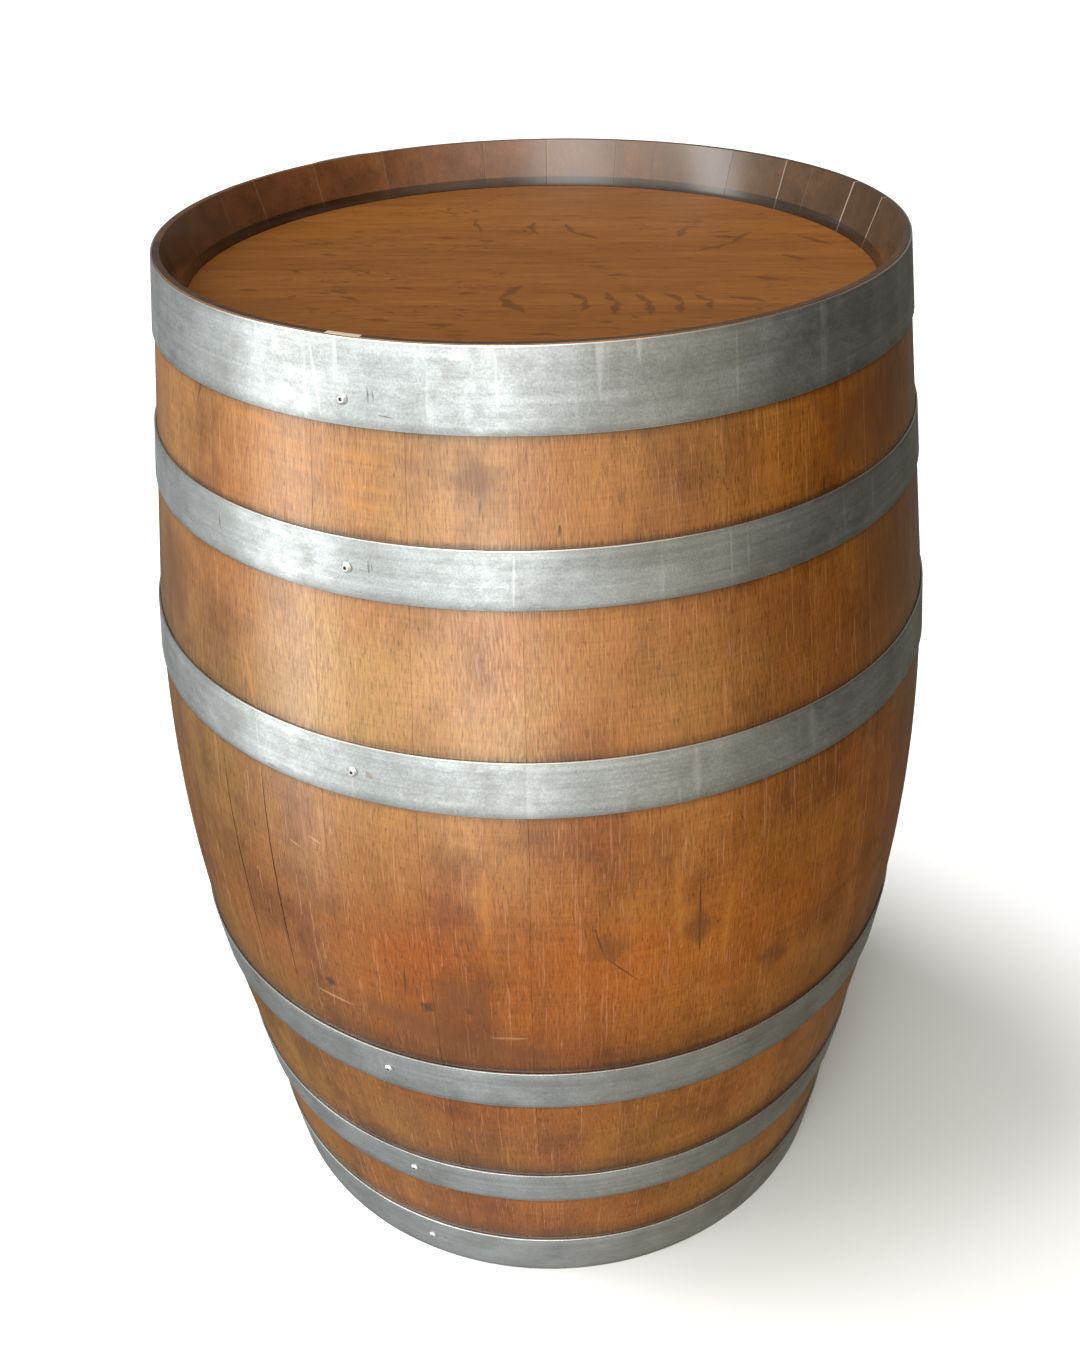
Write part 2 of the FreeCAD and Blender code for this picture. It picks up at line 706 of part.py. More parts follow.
def check():
    """Stops if anything in the document failed or if a sub-part has no sound shape."""
    for item in doc.Objects:
        if "Invalid" in item.State or "Error" in item.State:
            raise RuntimeError(f"{item.Label} failed: {item.State}")
    for node in nodes:
        if node.Shape.isNull() or not node.Shape.isValid():
            raise RuntimeError(f"{node.Label} has no valid shape")


def write():
    os.makedirs("parts", exist_ok=True)
    for node in nodes:
        node.Shape.exportStep(f"parts/{node.Label}.step")
        print(f"{node.Label:24s} {len(node.Shape.Solids):3d} solids {node.Shape.Volume / 1000:10.2f} cm3")


build()
check()
write()
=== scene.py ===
import json
import math
import random

import bmesh
import bpy
import numpy as np
from mathutils import Matrix, Vector


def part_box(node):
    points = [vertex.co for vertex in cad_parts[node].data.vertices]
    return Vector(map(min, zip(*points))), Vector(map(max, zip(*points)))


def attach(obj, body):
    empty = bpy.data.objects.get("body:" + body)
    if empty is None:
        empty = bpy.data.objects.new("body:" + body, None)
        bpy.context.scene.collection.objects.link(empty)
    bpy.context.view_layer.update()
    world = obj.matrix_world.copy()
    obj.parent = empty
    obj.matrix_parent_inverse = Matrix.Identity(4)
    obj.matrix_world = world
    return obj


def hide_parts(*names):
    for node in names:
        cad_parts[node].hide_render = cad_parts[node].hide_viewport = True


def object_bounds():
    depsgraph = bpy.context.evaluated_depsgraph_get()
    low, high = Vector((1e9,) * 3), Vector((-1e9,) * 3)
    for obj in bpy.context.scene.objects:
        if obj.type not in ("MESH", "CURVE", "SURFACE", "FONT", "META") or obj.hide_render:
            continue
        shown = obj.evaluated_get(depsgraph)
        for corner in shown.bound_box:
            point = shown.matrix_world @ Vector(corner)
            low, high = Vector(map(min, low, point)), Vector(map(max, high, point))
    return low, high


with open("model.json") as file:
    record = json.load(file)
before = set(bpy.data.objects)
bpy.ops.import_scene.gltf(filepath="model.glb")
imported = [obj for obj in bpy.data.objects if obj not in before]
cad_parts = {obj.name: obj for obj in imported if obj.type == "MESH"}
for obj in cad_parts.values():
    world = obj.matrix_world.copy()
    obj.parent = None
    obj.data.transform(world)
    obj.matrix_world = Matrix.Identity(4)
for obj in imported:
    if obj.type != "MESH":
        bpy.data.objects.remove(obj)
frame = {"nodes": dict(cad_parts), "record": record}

CAD_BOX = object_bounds()
MM = 0.001                    # metres
NODES = frame["nodes"]
HEIGHT = round(CAD_BOX[1].z, 4)
MIDDLE = HEIGHT / 2
BILGE_RADIUS = CAD_BOX[1].x
HOOPS = [name for name in NODES if name.endswith("_hoop")]
BOARDS = [name for name in NODES if "_head_board_" in name]

# the camera stands in front of the barrel and looks down into its rim
CAMERA_DISTANCE = 1.133       # from the barrel's axis
CAMERA_HEIGHT = 1.2425
CAMERA_PITCH = -32.82         # degrees from the horizon
CAMERA_PAN = 0.13             # degrees to the left
CAMERA_ROLL = -1.62           # degrees, clockwise
CAMERA_LENS = 36.75

# staves
ARRIS = 0.13 * MM             # size of the worn edge between a stave's faces
SHARP = 35                    # degrees: an edge that turns more keeps a crease
STAVE_UNEVENNESS = 0.08 * MM  # how far a stave may lie behind its neighbours
STAVE_STEP = 10 * MM          # between stations along a stave and across it
WALL_STATIONS = 40            # along the inside
CORNER = 0.4 * MM             # rounding of the chime's and the croze's corners
OPEN_JOINTS = {               # after which stave: degrees of sway, and how far the joint has opened
    "stave_05": (-1.4, 1.1 * MM),
    "stave_06": (-0.6, 1.2 * MM),
}
SWAY = 0.25                   # degrees, of every other joint
SWAY_MIDDLE, SWAY_LENGTH = 0.5, 0.08   # heights
OPEN_FROM, OPEN_TO = 0.37, 0.61

# bung
BUNG_FIT = 0.25 * MM          # clearance round it
LATHE_STEPS = 96
LATHE_RING = 0.06 * MM        # depth of the tool's marks
SIDE_RINGS, FACE_RINGS = 24, 12
BUNG_SEED = 7.0

# hoops
HOOP_THICKNESS = 1.6 * MM
HOOP_EDGE = 0.45 * MM         # rounding of the strip's edges
HOOP_TRIM = 0.35 * MM         # the strip is narrower than the CAD hoop, so that it may wander as much
DENT = 0.12 * MM
TURN_STEP = 1.25              # degrees between stations round a hoop
LAP_AZIMUTH = {"top": 128, "bottom": 52}
LAP_HALF_ANGLE = 5            # degrees
LAP_RAMP = 3                  # degrees in which the end climbs onto the start
LAP_GAP = 0.05 * MM
LAP_CORNER = 7 * MM           # cut off the strip's corners

HEAD_TURN = {"top": -5, "bottom": 9}   # degrees from +X to the boards' grain
SEEDS = 50                    # pieces draw a seed below this, which shifts their patterns
WALL_SCALE = 6.1              # millimetres for each degree round the wall


# ---- reading the frame

def vertex_array(mesh):
    flat = np.empty(len(mesh.vertices) * 3)
    mesh.vertices.foreach_get("co", flat)
    return flat.reshape(-1, 3)


def points_of(node):
    """A CAD node's vertices as an array."""
    return vertex_array(NODES[node].data)


def radius_and_height(points):
    """The different (radius, height) pairs among points, from the top down."""
    pairs = np.stack([np.hypot(points[:, 0], points[:, 1]), points[:, 2]], 1)
    pairs = np.unique(np.round(pairs, 5), axis=0)
    return pairs[np.argsort(-pairs[:, 1], kind="stable")]


def azimuth_span(points):
    """The lowest and highest azimuth of points, in radians, the lowest from -180 degrees on."""
    centre = math.atan2(points[:, 1].mean(), points[:, 0].mean())
    turn = np.arctan2(points[:, 1], points[:, 0]) - centre
    turn = (turn + math.pi) % (2 * math.pi) - math.pi
    start = centre + turn.min()
    if start < -math.pi:
        return start + 2 * math.pi, centre + turn.max() + 2 * math.pi
    return start, centre + turn.max()


class StaveShape:
    """The barrel's outline, worked out from one of the plain CAD staves."""

    def __init__(self, node):
        pairs = radius_and_height(points_of(node))
        ends = pairs[pairs[:, 1] > HEIGHT - 0.1 * MM]
        self.end_radius = ends[:, 0].max()
        lower = pairs[(pairs[:, 1] > MIDDLE) & (pairs[:, 1] < HEIGHT - 0.1 * MM)]
        slopes = (self.end_radius - lower[:, 0]) / (HEIGHT - lower[:, 1])
        tangent = -slopes[lower[:, 0] > self.end_radius].min()
        self.tilt = math.atan(tangent)
        swell = self.end_radius + MIDDLE * tangent - BILGE_RADIUS
        self.bend_radius = swell / (1 / math.cos(self.tilt) - 1)
        self.bend_half = self.bend_radius * math.sin(self.tilt)
        self.read_end(pairs)

    def read_end(self, pairs):
        """Finds the corners of the chime and the croze, and the wall's thickness."""
        inner = pairs[pairs[:, 0] < self.radius(pairs[:, 1]) - 4 * MM]
        self.wall = BILGE_RADIUS - inner[:, 0].max()
        levels = {}
        for radius, height in inner[inner[:, 1] > MIDDLE]:
            levels.setdefault(round(height, 4), []).append(radius)
        face, groove = sorted(level for level in levels if len(levels[level]) > 1)[::-1][:2]
        foot = min(level for level in levels if level > face)
        self.corners = [
            (self.end_radius, HEIGHT), (levels[max(levels)][0], HEIGHT), (levels[foot][0], foot),
            (min(levels[face]), face), (max(levels[face]), face),
            (max(levels[groove]), groove), (min(levels[groove]), groove),
        ]

    def slope(self, heights):
        """The outer surface's lean from upright, in radians, at heights."""
        offset = np.clip(np.abs(heights - MIDDLE) / self.bend_half, 0, 1)
        return np.arcsin(offset * math.sin(self.tilt))

    def radius(self, heights):
        """The outer radius at heights: a bend between two straight tapers."""
        lean = self.slope(heights)
        past = np.maximum(np.abs(heights - MIDDLE) - self.bend_half, 0)
        bend = self.bend_radius * (1 - np.cos(lean))
        return BILGE_RADIUS - bend - past * math.tan(self.tilt)

    def inner_radius(self, heights):
        return self.radius(heights) - self.wall / np.cos(self.slope(heights))


SHAPE = StaveShape("stave_14")
STAVE_SPANS = {name: azimuth_span(points_of(name)) for name in NODES if "stave" in name}
STAVES = sorted(STAVE_SPANS, key=lambda name: STAVE_SPANS[name])
BUNG_AXIS = Vector(frame["record"]["behaviour"]["joints"][0]["axis"])


# ---- meshes

def in_scene(name, data):
    """A new object, linked into the scene."""
    item = bpy.data.objects.new(name, data)
    bpy.context.scene.collection.objects.link(item)
    return item


def finish_mesh(mesh):
    """Joins doubled points, points the faces outwards and creases the sharp edges."""
    work = bmesh.new()
    work.from_mesh(mesh)
    bmesh.ops.remove_doubles(work, verts=work.verts, dist=0.002 * MM)
    bmesh.ops.dissolve_degenerate(work, edges=work.edges, dist=0.001 * MM)
    bmesh.ops.recalc_face_normals(work, faces=work.faces)
    for face in work.faces:
        face.smooth = True
    for edge in work.edges:
        edge.smooth = edge.calc_face_angle(0) < math.radians(SHARP)
    work.to_mesh(mesh)
    work.free()


def loft(name, rings, kinds=None):
    """A closed mesh through rings of points; kinds gives each strip of faces its material."""
    rings = np.asarray(rings)
    count, size = rings.shape[:2]
    index = np.arange(count * size).reshape(count, size)
    beside = np.roll(index, -1, axis=1)
    quads = np.stack([index[:-1], beside[:-1], beside[1:], index[1:]], -1).reshape(-1, 4)
    caps = [index[0][::-1].tolist(), index[-1].tolist()]
    mesh = bpy.data.meshes.new(name)
    mesh.from_pydata(rings.reshape(-1, 3).tolist(), [], quads.tolist() + caps)
    if kinds is not None:
        strips = np.tile(kinds, count - 1).tolist() + [kinds.max()] * 2
        mesh.polygons.foreach_set("material_index", strips)
    finish_mesh(mesh)
    return mesh


def rounded(corners, radius):
    """An outline with each inside corner replaced by a small three-point curve."""
    corners = [np.array(corner, float) for corner in corners]
    points = [corners[0]]
    for before, corner, after in zip(corners, corners[1:], corners[2:]):
        start = corner + (before - corner) * (radius / np.linalg.norm(before - corner))
        end = corner + (after - corner) * (radius / np.linalg.norm(after - corner))
        points += [start, (start + 2 * corner + end) / 4, end]
    return points + [corners[-1]]


def cylindrical(radius, azimuth, height):
    """Points from radii, azimuths in radians and heights."""
    return np.stack([radius * np.cos(azimuth), radius * np.sin(azimuth), height], -1)


def set_vectors(mesh, name, *parts):
    """Stores a vector at each vertex for the materials to read, from arrays or single numbers."""
    attribute = mesh.attributes.new(name, "FLOAT_VECTOR", "POINT")
    attribute.data.foreach_set("vector", np.stack(np.broadcast_arrays(*parts), 1).ravel())


def add_piece(name, mesh, body, node, materials):
    """Puts a mesh into the scene in place of a CAD node."""
    piece = in_scene(name, mesh)
    for material in materials:
        mesh.materials.append(material)
    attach(piece, body)
    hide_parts(node)
    return piece


# ---- staves

OUTSIDE, CHIME, INSIDE = 0, 1, 2


def stave_outline():
    """The section's points as (radius, height) and what each side of it is."""
    top = rounded(SHAPE.corners, CORNER)
    heights = np.linspace(0, HEIGHT, round(HEIGHT / STAVE_STEP))
    groove = SHAPE.corners[-1][1]
    wall_heights = np.linspace(groove, HEIGHT - groove, WALL_STATIONS)[1:-1]
    outer = list(zip(SHAPE.radius(heights), heights))
    wall = list(zip(SHAPE.inner_radius(wall_heights), wall_heights))
    bottom = [(radius, HEIGHT - height) for radius, height in top[::-1]]
    points = outer[:-1] + top + wall + bottom[:-1]
    kinds = [OUTSIDE] * (len(outer) - 1) + [CHIME] * len(top)
    kinds += [INSIDE] * len(wall) + [CHIME] * (len(bottom) - 1)
    kinds[len(outer) + len(top) - 2] = INSIDE
    return np.array(points), np.array(kinds)


def inward_normals(outline):
    """The direction into the wood at each point of the section."""
    along = np.roll(outline, -1, axis=0) - np.roll(outline, 1, axis=0)
    along /= np.linalg.norm(along, axis=1)[:, None]
    return np.stack([-along[:, 1], along[:, 0]], 1)


def joint_line(before, azimuth, heights):
    """A joint's azimuths, and how far it stands open, at heights."""
    sway, opening = OPEN_JOINTS.get(before, (random.Random(before).uniform(-SWAY, SWAY), 0))
    azimuths = azimuth + math.radians(sway) * np.tanh((heights - SWAY_MIDDLE) / SWAY_LENGTH)
    inside = np.clip((heights - OPEN_FROM) / (OPEN_TO - OPEN_FROM), 0, 1)
    return azimuths, opening * np.sin(math.pi * inside) ** 0.7


def stave_columns(width):
    """Pairs of a share of the way across and a distance from there, with the arris's inset."""
    arris = [(0, 1), (0.15, 0.5), (0.45, 0.15), (1, 0), (2, 0)]
    columns = [(0, ARRIS * out, ARRIS * inset) for out, inset in arris]
    steps = max(3, round(width / STAVE_STEP))
    columns += [(step / steps, 0, 0) for step in range(1, steps)]
    columns += [(1, -ARRIS * out, ARRIS * inset) for out, inset in arris[::-1]]
    return columns


def make_stave(number, name, materials):
    """A bent stave between its two joints, set back a hair from its neighbours."""
    outline, kinds = stave_outline()
    normals = inward_normals(outline)
    start, end = STAVE_SPANS[name]
    heights = outline[:, 1]
    first, first_gap = joint_line(STAVES[number - 1], start, heights)
    last, last_gap = joint_line(name, end, heights)
    draw = random.Random(name)
    recess = draw.uniform(0, STAVE_UNEVENNESS)
    seed = draw.uniform(0, SEEDS)
    first = first + first_gap / 2 / outline[:, 0]
    last = last - last_gap / 2 / outline[:, 0]
    rings = []
    for share, distance, inset in stave_columns((end - start) * BILGE_RADIUS):
        section = outline + normals * inset
        section[:, 0] -= np.where(kinds == OUTSIDE, recess, 0)
        azimuth = first + (last - first) * share + distance / outline[:, 0]
        rings.append(cylindrical(section[:, 0], azimuth, section[:, 1]))
    mesh = loft(name + "_oak", rings, kinds)
    if name == "bung_stave":
        mesh = bored(mesh)
    points = vertex_array(mesh)
    middle = (start + end) / 2
    azimuth = np.arctan2(points[:, 1], points[:, 0])
    turn = (azimuth - middle + math.pi) % (2 * math.pi) - math.pi
    across = turn * BILGE_RADIUS
    to_joint = (end - start) / 2 * BILGE_RADIUS - np.abs(across)
    set_vectors(mesh, "grain", across, points[:, 2], seed)
    set_vectors(mesh, "wall", np.degrees(middle + turn), points[:, 2] / MM, to_joint / MM)
    return add_piece(name + "_oak", mesh, "barrel", name, materials)


def bored(mesh):
    """The mesh with the bung's tapered hole cut through it."""
    profile = [(place, radius + BUNG_FIT) for place, radius in bung_profile() if radius > 20 * MM]
    (near, near_radius), (far, far_radius) = profile[1], profile[-2]
    grow = (far_radius - near_radius) / (far - near)
    reach = 30 * MM
    cone = [(near - reach, near_radius - grow * reach), (far + reach, far_radius + grow * reach)]
    blank = in_scene("blank", mesh)
    cutter = in_scene("cutter", lathe("cutter", cone))
    cut = blank.modifiers.new("bore", "BOOLEAN")
    cut.operation = "DIFFERENCE"
    cut.object = cutter
    result = bpy.data.meshes.new_from_object(blank.evaluated_get(bpy.context.evaluated_depsgraph_get()))
    result.name = mesh.name + "_bored"
    for item in (blank, cutter):
        bpy.data.objects.remove(item)
    finish_mesh(result)
    return result


# ---- bung

def bung_profile():
    """The CAD bung's outline as (place along its axis, radius), from inside to outside."""
    points = points_of("bung") - np.array([0, 0, MIDDLE])
    along = points @ np.array(BUNG_AXIS)
    away = np.linalg.norm(points - along[:, None] * np.array(BUNG_AXIS), axis=1)
    pairs = np.unique(np.round(np.stack([along, away], 1), 4), axis=0)
    return [tuple(pair) for pair in pairs]


def lathe(name, profile):
    """A solid turned about the bung's axis from (place, radius) pairs."""
    side = BUNG_AXIS.cross(Vector((0, 0, 1))).normalized()
    up = side.cross(BUNG_AXIS)
    centre = Vector((0, 0, MIDDLE))
    rings = []
    for place, radius in profile:
        turns = [2 * math.pi * step / LATHE_STEPS for step in range(LATHE_STEPS)]
        rings.append([centre + BUNG_AXIS * place + (side * math.cos(turn) + up * math.sin(turn)) * radius
                      for turn in turns])
    return loft(name, rings)


def make_bung(material):
    """The bung, with fine rings left by the lathe on its face and sides."""
    outline = bung_profile()
    inner, outer = outline[0][0], outline[-1][0] - 0.1 * MM
    sides = [pair for pair in outline if pair[1] > 20 * MM and inner < pair[0] < outer]
    (near, near_radius), (far, far_radius) = sides[0], sides[-1]
    rim = max(radius for place, radius in outline if place > outer - 0.1 * MM)
    profile = [(inner, 1 * MM), (inner, near_radius - 1 * MM), (near, near_radius)]
    for step in range(1, SIDE_RINGS):
        share = step / SIDE_RINGS
        ring = LATHE_RING * (step % 2)
        profile.append((near + (far - near) * share, near_radius + (far_radius - near_radius) * share - ring))
    profile += [(far, far_radius), ((far + outer) / 2 + 0.3 * MM, (far_radius + rim) / 2 + 0.3 * MM)]
    for step in range(FACE_RINGS, 0, -1):
        profile.append((outer - 0.05 * MM * (step % 2), rim * step / FACE_RINGS))
    profile.append((outer, 0.5 * MM))
    mesh = lathe("bung_turned", profile)
    points = vertex_array(mesh)
    side = np.array(BUNG_AXIS.cross(Vector((0, 0, 1))).normalized())
    set_vectors(mesh, "grain", points @ side, points[:, 2], BUNG_SEED)
    return add_piece("bung_turned", mesh, "bung", "bung", [material])


# ---- hoops

def waves(draw, turns, size):
    """A smooth closed wandering line round the barrel, no larger than size."""
    total = np.zeros_like(turns)
    for count in (2, 3, 5, 8, 13):
        total += draw.uniform(0.3, 1) * np.sin(count * turns + draw.uniform(0, 2 * math.pi))
    return size * total / 3


def smooth_step(share):
    share = np.clip(share, 0, 1)
    return share * share * (3 - 2 * share)


def hoop_section(half_width, thickness):
    """A rounded strip's outline as (along the width, out from the seat)."""
    corners = [(0, 0), (half_width, 0), (half_width, thickness), (-half_width, thickness),
               (-half_width, 0), (0, 0)]
    points = rounded(corners, HOOP_EDGE)[1:-1]
    outer = points[5]
    filled = points[:6] + [outer + (points[6] - outer) * share for share in (0.2, 0.4, 0.6, 0.8)]
    return np.array(filled + points[6:])


def make_hoop(node, material):
    """A steel strip bent round the staves, with its end lapped over its start."""
    end = node.split("_")[0]
    points = points_of(node)
    pairs = radius_and_height(points)
    top, bottom = pairs[0][1], pairs[-1][1]
    top_radius = pairs[pairs[:, 1] > top - MM][:, 0].min()
    bottom_radius = pairs[pairs[:, 1] < bottom + MM][:, 0].min()
    middle = np.array([(top_radius + bottom_radius) / 2, (top + bottom) / 2])
    along = np.array([top_radius - bottom_radius, top - bottom])
    half_width = np.linalg.norm(along) / 2
    along /= 2 * half_width
    outward = np.array([along[1], -along[0]])
    turns = np.radians(np.arange(-LAP_HALF_ANGLE, 360 + LAP_HALF_ANGLE + 0.01, TURN_STEP))
    fine = np.radians(np.array([0.1, 0.3, 0.6]))   # extra stations beside the cut ends
    turns = np.sort(np.concatenate([turns, turns[0] + fine, turns[-1] - fine]))
    draw = random.Random(node)
    wander = waves(draw, turns, HOOP_TRIM)
    dents = waves(draw, turns * 3, DENT)
    lift = (HOOP_THICKNESS + LAP_GAP) * smooth_step(
        (np.degrees(turns) - 360 + LAP_HALF_ANGLE + LAP_RAMP) / LAP_RAMP)
    from_end = np.minimum(turns - turns[0], turns[-1] - turns) * middle[0]
    rings = []
    for turn, shift, dent, rise, far in zip(turns, wander, dents, lift, from_end):
        clipped = half_width - max(LAP_CORNER - far, 0) * 0.8 - HOOP_TRIM
        section = hoop_section(clipped, HOOP_THICKNESS)
        place = middle + np.outer(section[:, 0] + shift, along)
        place = place + np.outer(section[:, 1] + rise + dent, outward)
        azimuth = turn + math.radians(LAP_AZIMUTH[end])
        rings.append(cylindrical(place[:, 0], np.full(len(place), azimuth), place[:, 1]))
    mesh = loft(node + "_strip", rings)
    points = vertex_array(mesh)
    around = np.arctan2(points[:, 1], points[:, 0])
    across = (points[:, 2] - middle[1]) / along[1] / half_width
    set_vectors(mesh, "grain", around * middle[0], points[:, 2], draw.uniform(0, SEEDS))
    set_vectors(mesh, "wall", np.degrees(around), points[:, 2] / MM, across)
    return add_piece(node + "_strip", mesh, "barrel", node, [material])


# ---- heads

def make_board(node, material):
    """A head board from the CAD node's mesh, with its grain direction stored for the material."""
    end = node.split("_")[0]
    mesh = NODES[node].data.copy()
    mesh.name = node + "_oak"
    mesh.materials.clear()
    finish_mesh(mesh)
    turn = math.radians(HEAD_TURN[end])
    along = np.array([math.cos(turn), math.sin(turn), 0])
    across = np.array([-math.sin(turn), math.cos(turn), 0])
    points = vertex_array(mesh)
    seed = random.Random(node).uniform(0, SEEDS)
    set_vectors(mesh, "grain", points @ across, points @ along, seed)
    return add_piece(node + "_oak", mesh, "barrel", node, [material])


# ---- material nodes

class Graph:
    """A node tree, filled and linked by short calls."""

    def __init__(self, tree):
        self.links = tree.links
        self.nodes = tree.nodes
        self.nodes.clear()

    def put(self, value, socket):
        if isinstance(value, bpy.types.NodeSocket):
            self.links.new(value, socket)
        elif isinstance(value, tuple) and socket.type == "RGBA":
            socket.default_value = (*value, 1)
        else:
            socket.default_value = value

    def add(self, kind, inputs=(), **settings):
        """A new node; inputs pairs each socket's number or name with its value or link."""
        node = self.nodes.new("ShaderNode" + kind)
        for setting, value in settings.items():
            setattr(node, setting, value)
        for socket, value in dict(inputs).items():
            self.put(value, node.inputs[socket])
        return node

    def attribute(self, name):
        return self.add("Attribute", attribute_name=name).outputs["Vector"]

    def place(self, kind="Object"):
        return self.add("TexCoord").outputs[kind]

    def vector(self, operation, first, second=(0, 0, 0), scale=1.0, result=0):
        inputs = {0: first, 1: second, 3: scale}
        return self.add("VectorMath", inputs, operation=operation).outputs[result]

    def scaled(self, vector, across, along, other=1.0):
        return self.vector("MULTIPLY", vector, (across, along, other))

    def split(self, vector):
        return self.add("SeparateXYZ", {0: vector}).outputs

    def math(self, operation, first, second=0.5, clamp=False):
        return self.add("Math", {0: first, 1: second}, operation=operation, use_clamp=clamp).outputs[0]

    def noise(self, vector, detail=3.0, roughness=0.55, distortion=0.0, result="Fac"):
        inputs = {"Vector": vector, "Scale": 1.0, "Detail": detail, "Roughness": roughness}
        return self.add("TexNoise", {**inputs, "Distortion": distortion}).outputs[result]

    def push(self, vector, detail):
        """A smoothly changing vector, up to 0.5 long each way."""
        return self.vector("SUBTRACT", self.noise(vector, detail, 0.5, 0.0, "Color"), (0.5, 0.5, 0.5))

    def chance(self, seed, shift=0.0):
        """A random number from 0 to 1 that is the same wherever seed is the same."""
        inputs = {"W": self.math("ADD", seed, shift)}
        return self.add("TexWhiteNoise", inputs, noise_dimensions="1D").outputs["Value"]

    def ramp(self, value, *stops):
        """A colour from a value; each stop is a place and a grey or a colour."""
        node = self.add("ValToRGB", {0: value})
        elements = node.color_ramp.elements
        for place, _ in stops[2:]:
            elements.new(place)
        for element, (place, colour) in zip(elements, stops):
            element.position = place
            element.color = (*colour, 1) if isinstance(colour, tuple) else (colour,) * 3 + (1,)
        return node.outputs[0]

    def mix(self, share, first, second, blend="MIX"):
        inputs = {0: share, 6: first, 7: second}
        return self.add("Mix", inputs, data_type="RGBA", blend_type=blend).outputs[2]

    def times(self, first, *others):
        for other in others:
            first = self.mix(1.0, first, other, "MULTIPLY")
        return first

    def stroke(self, flat, start, end, width):
        """1 along a line between two flat places, 0 beyond its width, which tapers to the ends."""
        start, end = Vector((*start, 0)), Vector((*end, 0))
        line = end - start
        offset = self.vector("SUBTRACT", flat, tuple(start))
        share = self.vector("DOT_PRODUCT", offset, tuple(line / line.length_squared), result=1)
        share = self.math("MULTIPLY", share, 1.0, clamp=True)
        taper = self.ramp(share, (0, 0.35), (0.4, 1), (0.6, 1), (1, 0.2))
        nearest = self.vector("SCALE", tuple(line), scale=share)
        distance = self.vector("LENGTH", self.vector("SUBTRACT", offset, nearest), result=1)
        spread = self.math("MULTIPLY", taper, width)
        return self.math("SUBTRACT", 1.0, self.math("DIVIDE", distance, spread), clamp=True)

    def marked(self, colour, flat, marks, tint, strength):
        """The colour with marks in another tint over it; each is a start, an end and a width."""
        for (start_azimuth, start), (end_azimuth, end), width in marks:
            places = (start_azimuth * WALL_SCALE, start), (end_azimuth * WALL_SCALE, end)
            mark = self.stroke(flat, *places, width)
            colour = self.mix(self.math("MULTIPLY", mark, strength), colour, tint)
        return colour


class Finish(Graph):
    """A material's nodes, ending in one shader."""

    def __init__(self, name, **settings):
        self.material = bpy.data.materials.new(name)
        self.material.use_nodes = True
        super().__init__(self.material.node_tree)
        self.shader = self.add("BsdfPrincipled")
        self.add("OutputMaterial", {0: self.shader.outputs[0]})
        for setting, value in settings.items():
            self.shade(setting.replace("_", " "), value)

    def shade(self, setting, value):
        self.put(value, self.shader.inputs[setting])

    def bump(self, *heights):
        """Bumps laid over each other, each a height from 0 to 1 and its depth."""
        normal = None
        for height, depth in heights:
            node = self.add("Bump", {"Strength": 1.0, "Distance": depth, "Height": height})
            if normal:
                self.put(normal, node.inputs["Normal"])
            normal = node.outputs[0]
        self.shade("Normal", normal)
        self.shade("Coat Normal", normal)


# ---- wood

OAK_DARK, OAK, OAK_LIGHT = (0.255, 0.082, 0.012), (0.350, 0.122, 0.018), (0.435, 0.165, 0.028)

# marks on the wall: start and end, each an azimuth in degrees and a height in mm, and width in mm
DARK_MARKS = [                # cracks and bruises
    ((-70.7, 536), (-70.4, 455), 1.9),
    ((-84.4, 503), (-83.2, 474), 1.4),
    ((-83.2, 474), (-78.5, 442), 1.0),
    ((-50.2, 829), (-50.2, 815), 1.6),
    ((-122.4, 405), (-121.4, 403), 11),
    ((-107.4, 412), (-106.2, 407), 12),
    ((-109.5, 452), (-109.8, 420), 1.2),
    ((-139.5, 905), (-142.5, 872), 1.0),
    ((-97, 850), (-97.1, 838), 1.3),
    ((-87.5, 832), (-87.6, 824), 2.0),
    ((-84, 815), (-83.5, 806), 1.3),
    ((-101.5, 415), (-100.6, 409), 5),
]
PALE_MARKS = [                # scratches
    ((-124.5, 387), (-118.5, 385), 2.2),
    ((-98.4, 383), (-93.6, 384), 2.6),
    ((-122, 560), (-120.2, 556), 1.6),
    ((-125.5, 548), (-123.8, 545), 1.4),
]
GLEAMS = [                    # painted glints: pale flecks in the colour where raised flecks of the varnish catch the light
    ((-121, 800), (-119.5, 630), 60), ((-95, 810), (-94, 620), 90),
]
FLAMES = [                    # orange figure in the wood
    ((-128, 872), (-116, 866), 9), ((-122, 858), (-109, 851), 8), ((-118, 874), (-108, 870), 6),
    ((-116, 842), (-110, 838), 9), ((-133, 884), (-124, 880), 6), ((-132, 700), (-130, 655), 5),
    ((-74, 560), (-73, 470), 9), ((-66, 520), (-67, 440), 7), ((-98, 560), (-98, 500), 8),
]
DARK_PATCHES = [              # soft stains, and broad painted shade on the upper right of the wall
    ((-97.5, 872), (-97, 855), 30), ((-44, 860), (-47, 840), 60), ((-110, 815), (-112, 800), 35),
    ((-155, 750), (-149, 690), 70), ((-42, 870), (-30, 840), 80), ((-40, 760), (-28, 690), 90),
    ((-83, 490), (-82, 470), 26), ((-70.5, 500), (-70.5, 470), 20), ((-60, 425), (-56, 418), 30),
    ((-104, 440), (-100, 410), 45), ((-115, 395), (-90, 360), 40),
]
RIM_CHIP = ((-117.0 * WALL_SCALE, 951), (-112.0 * WALL_SCALE, 950), 3.4)
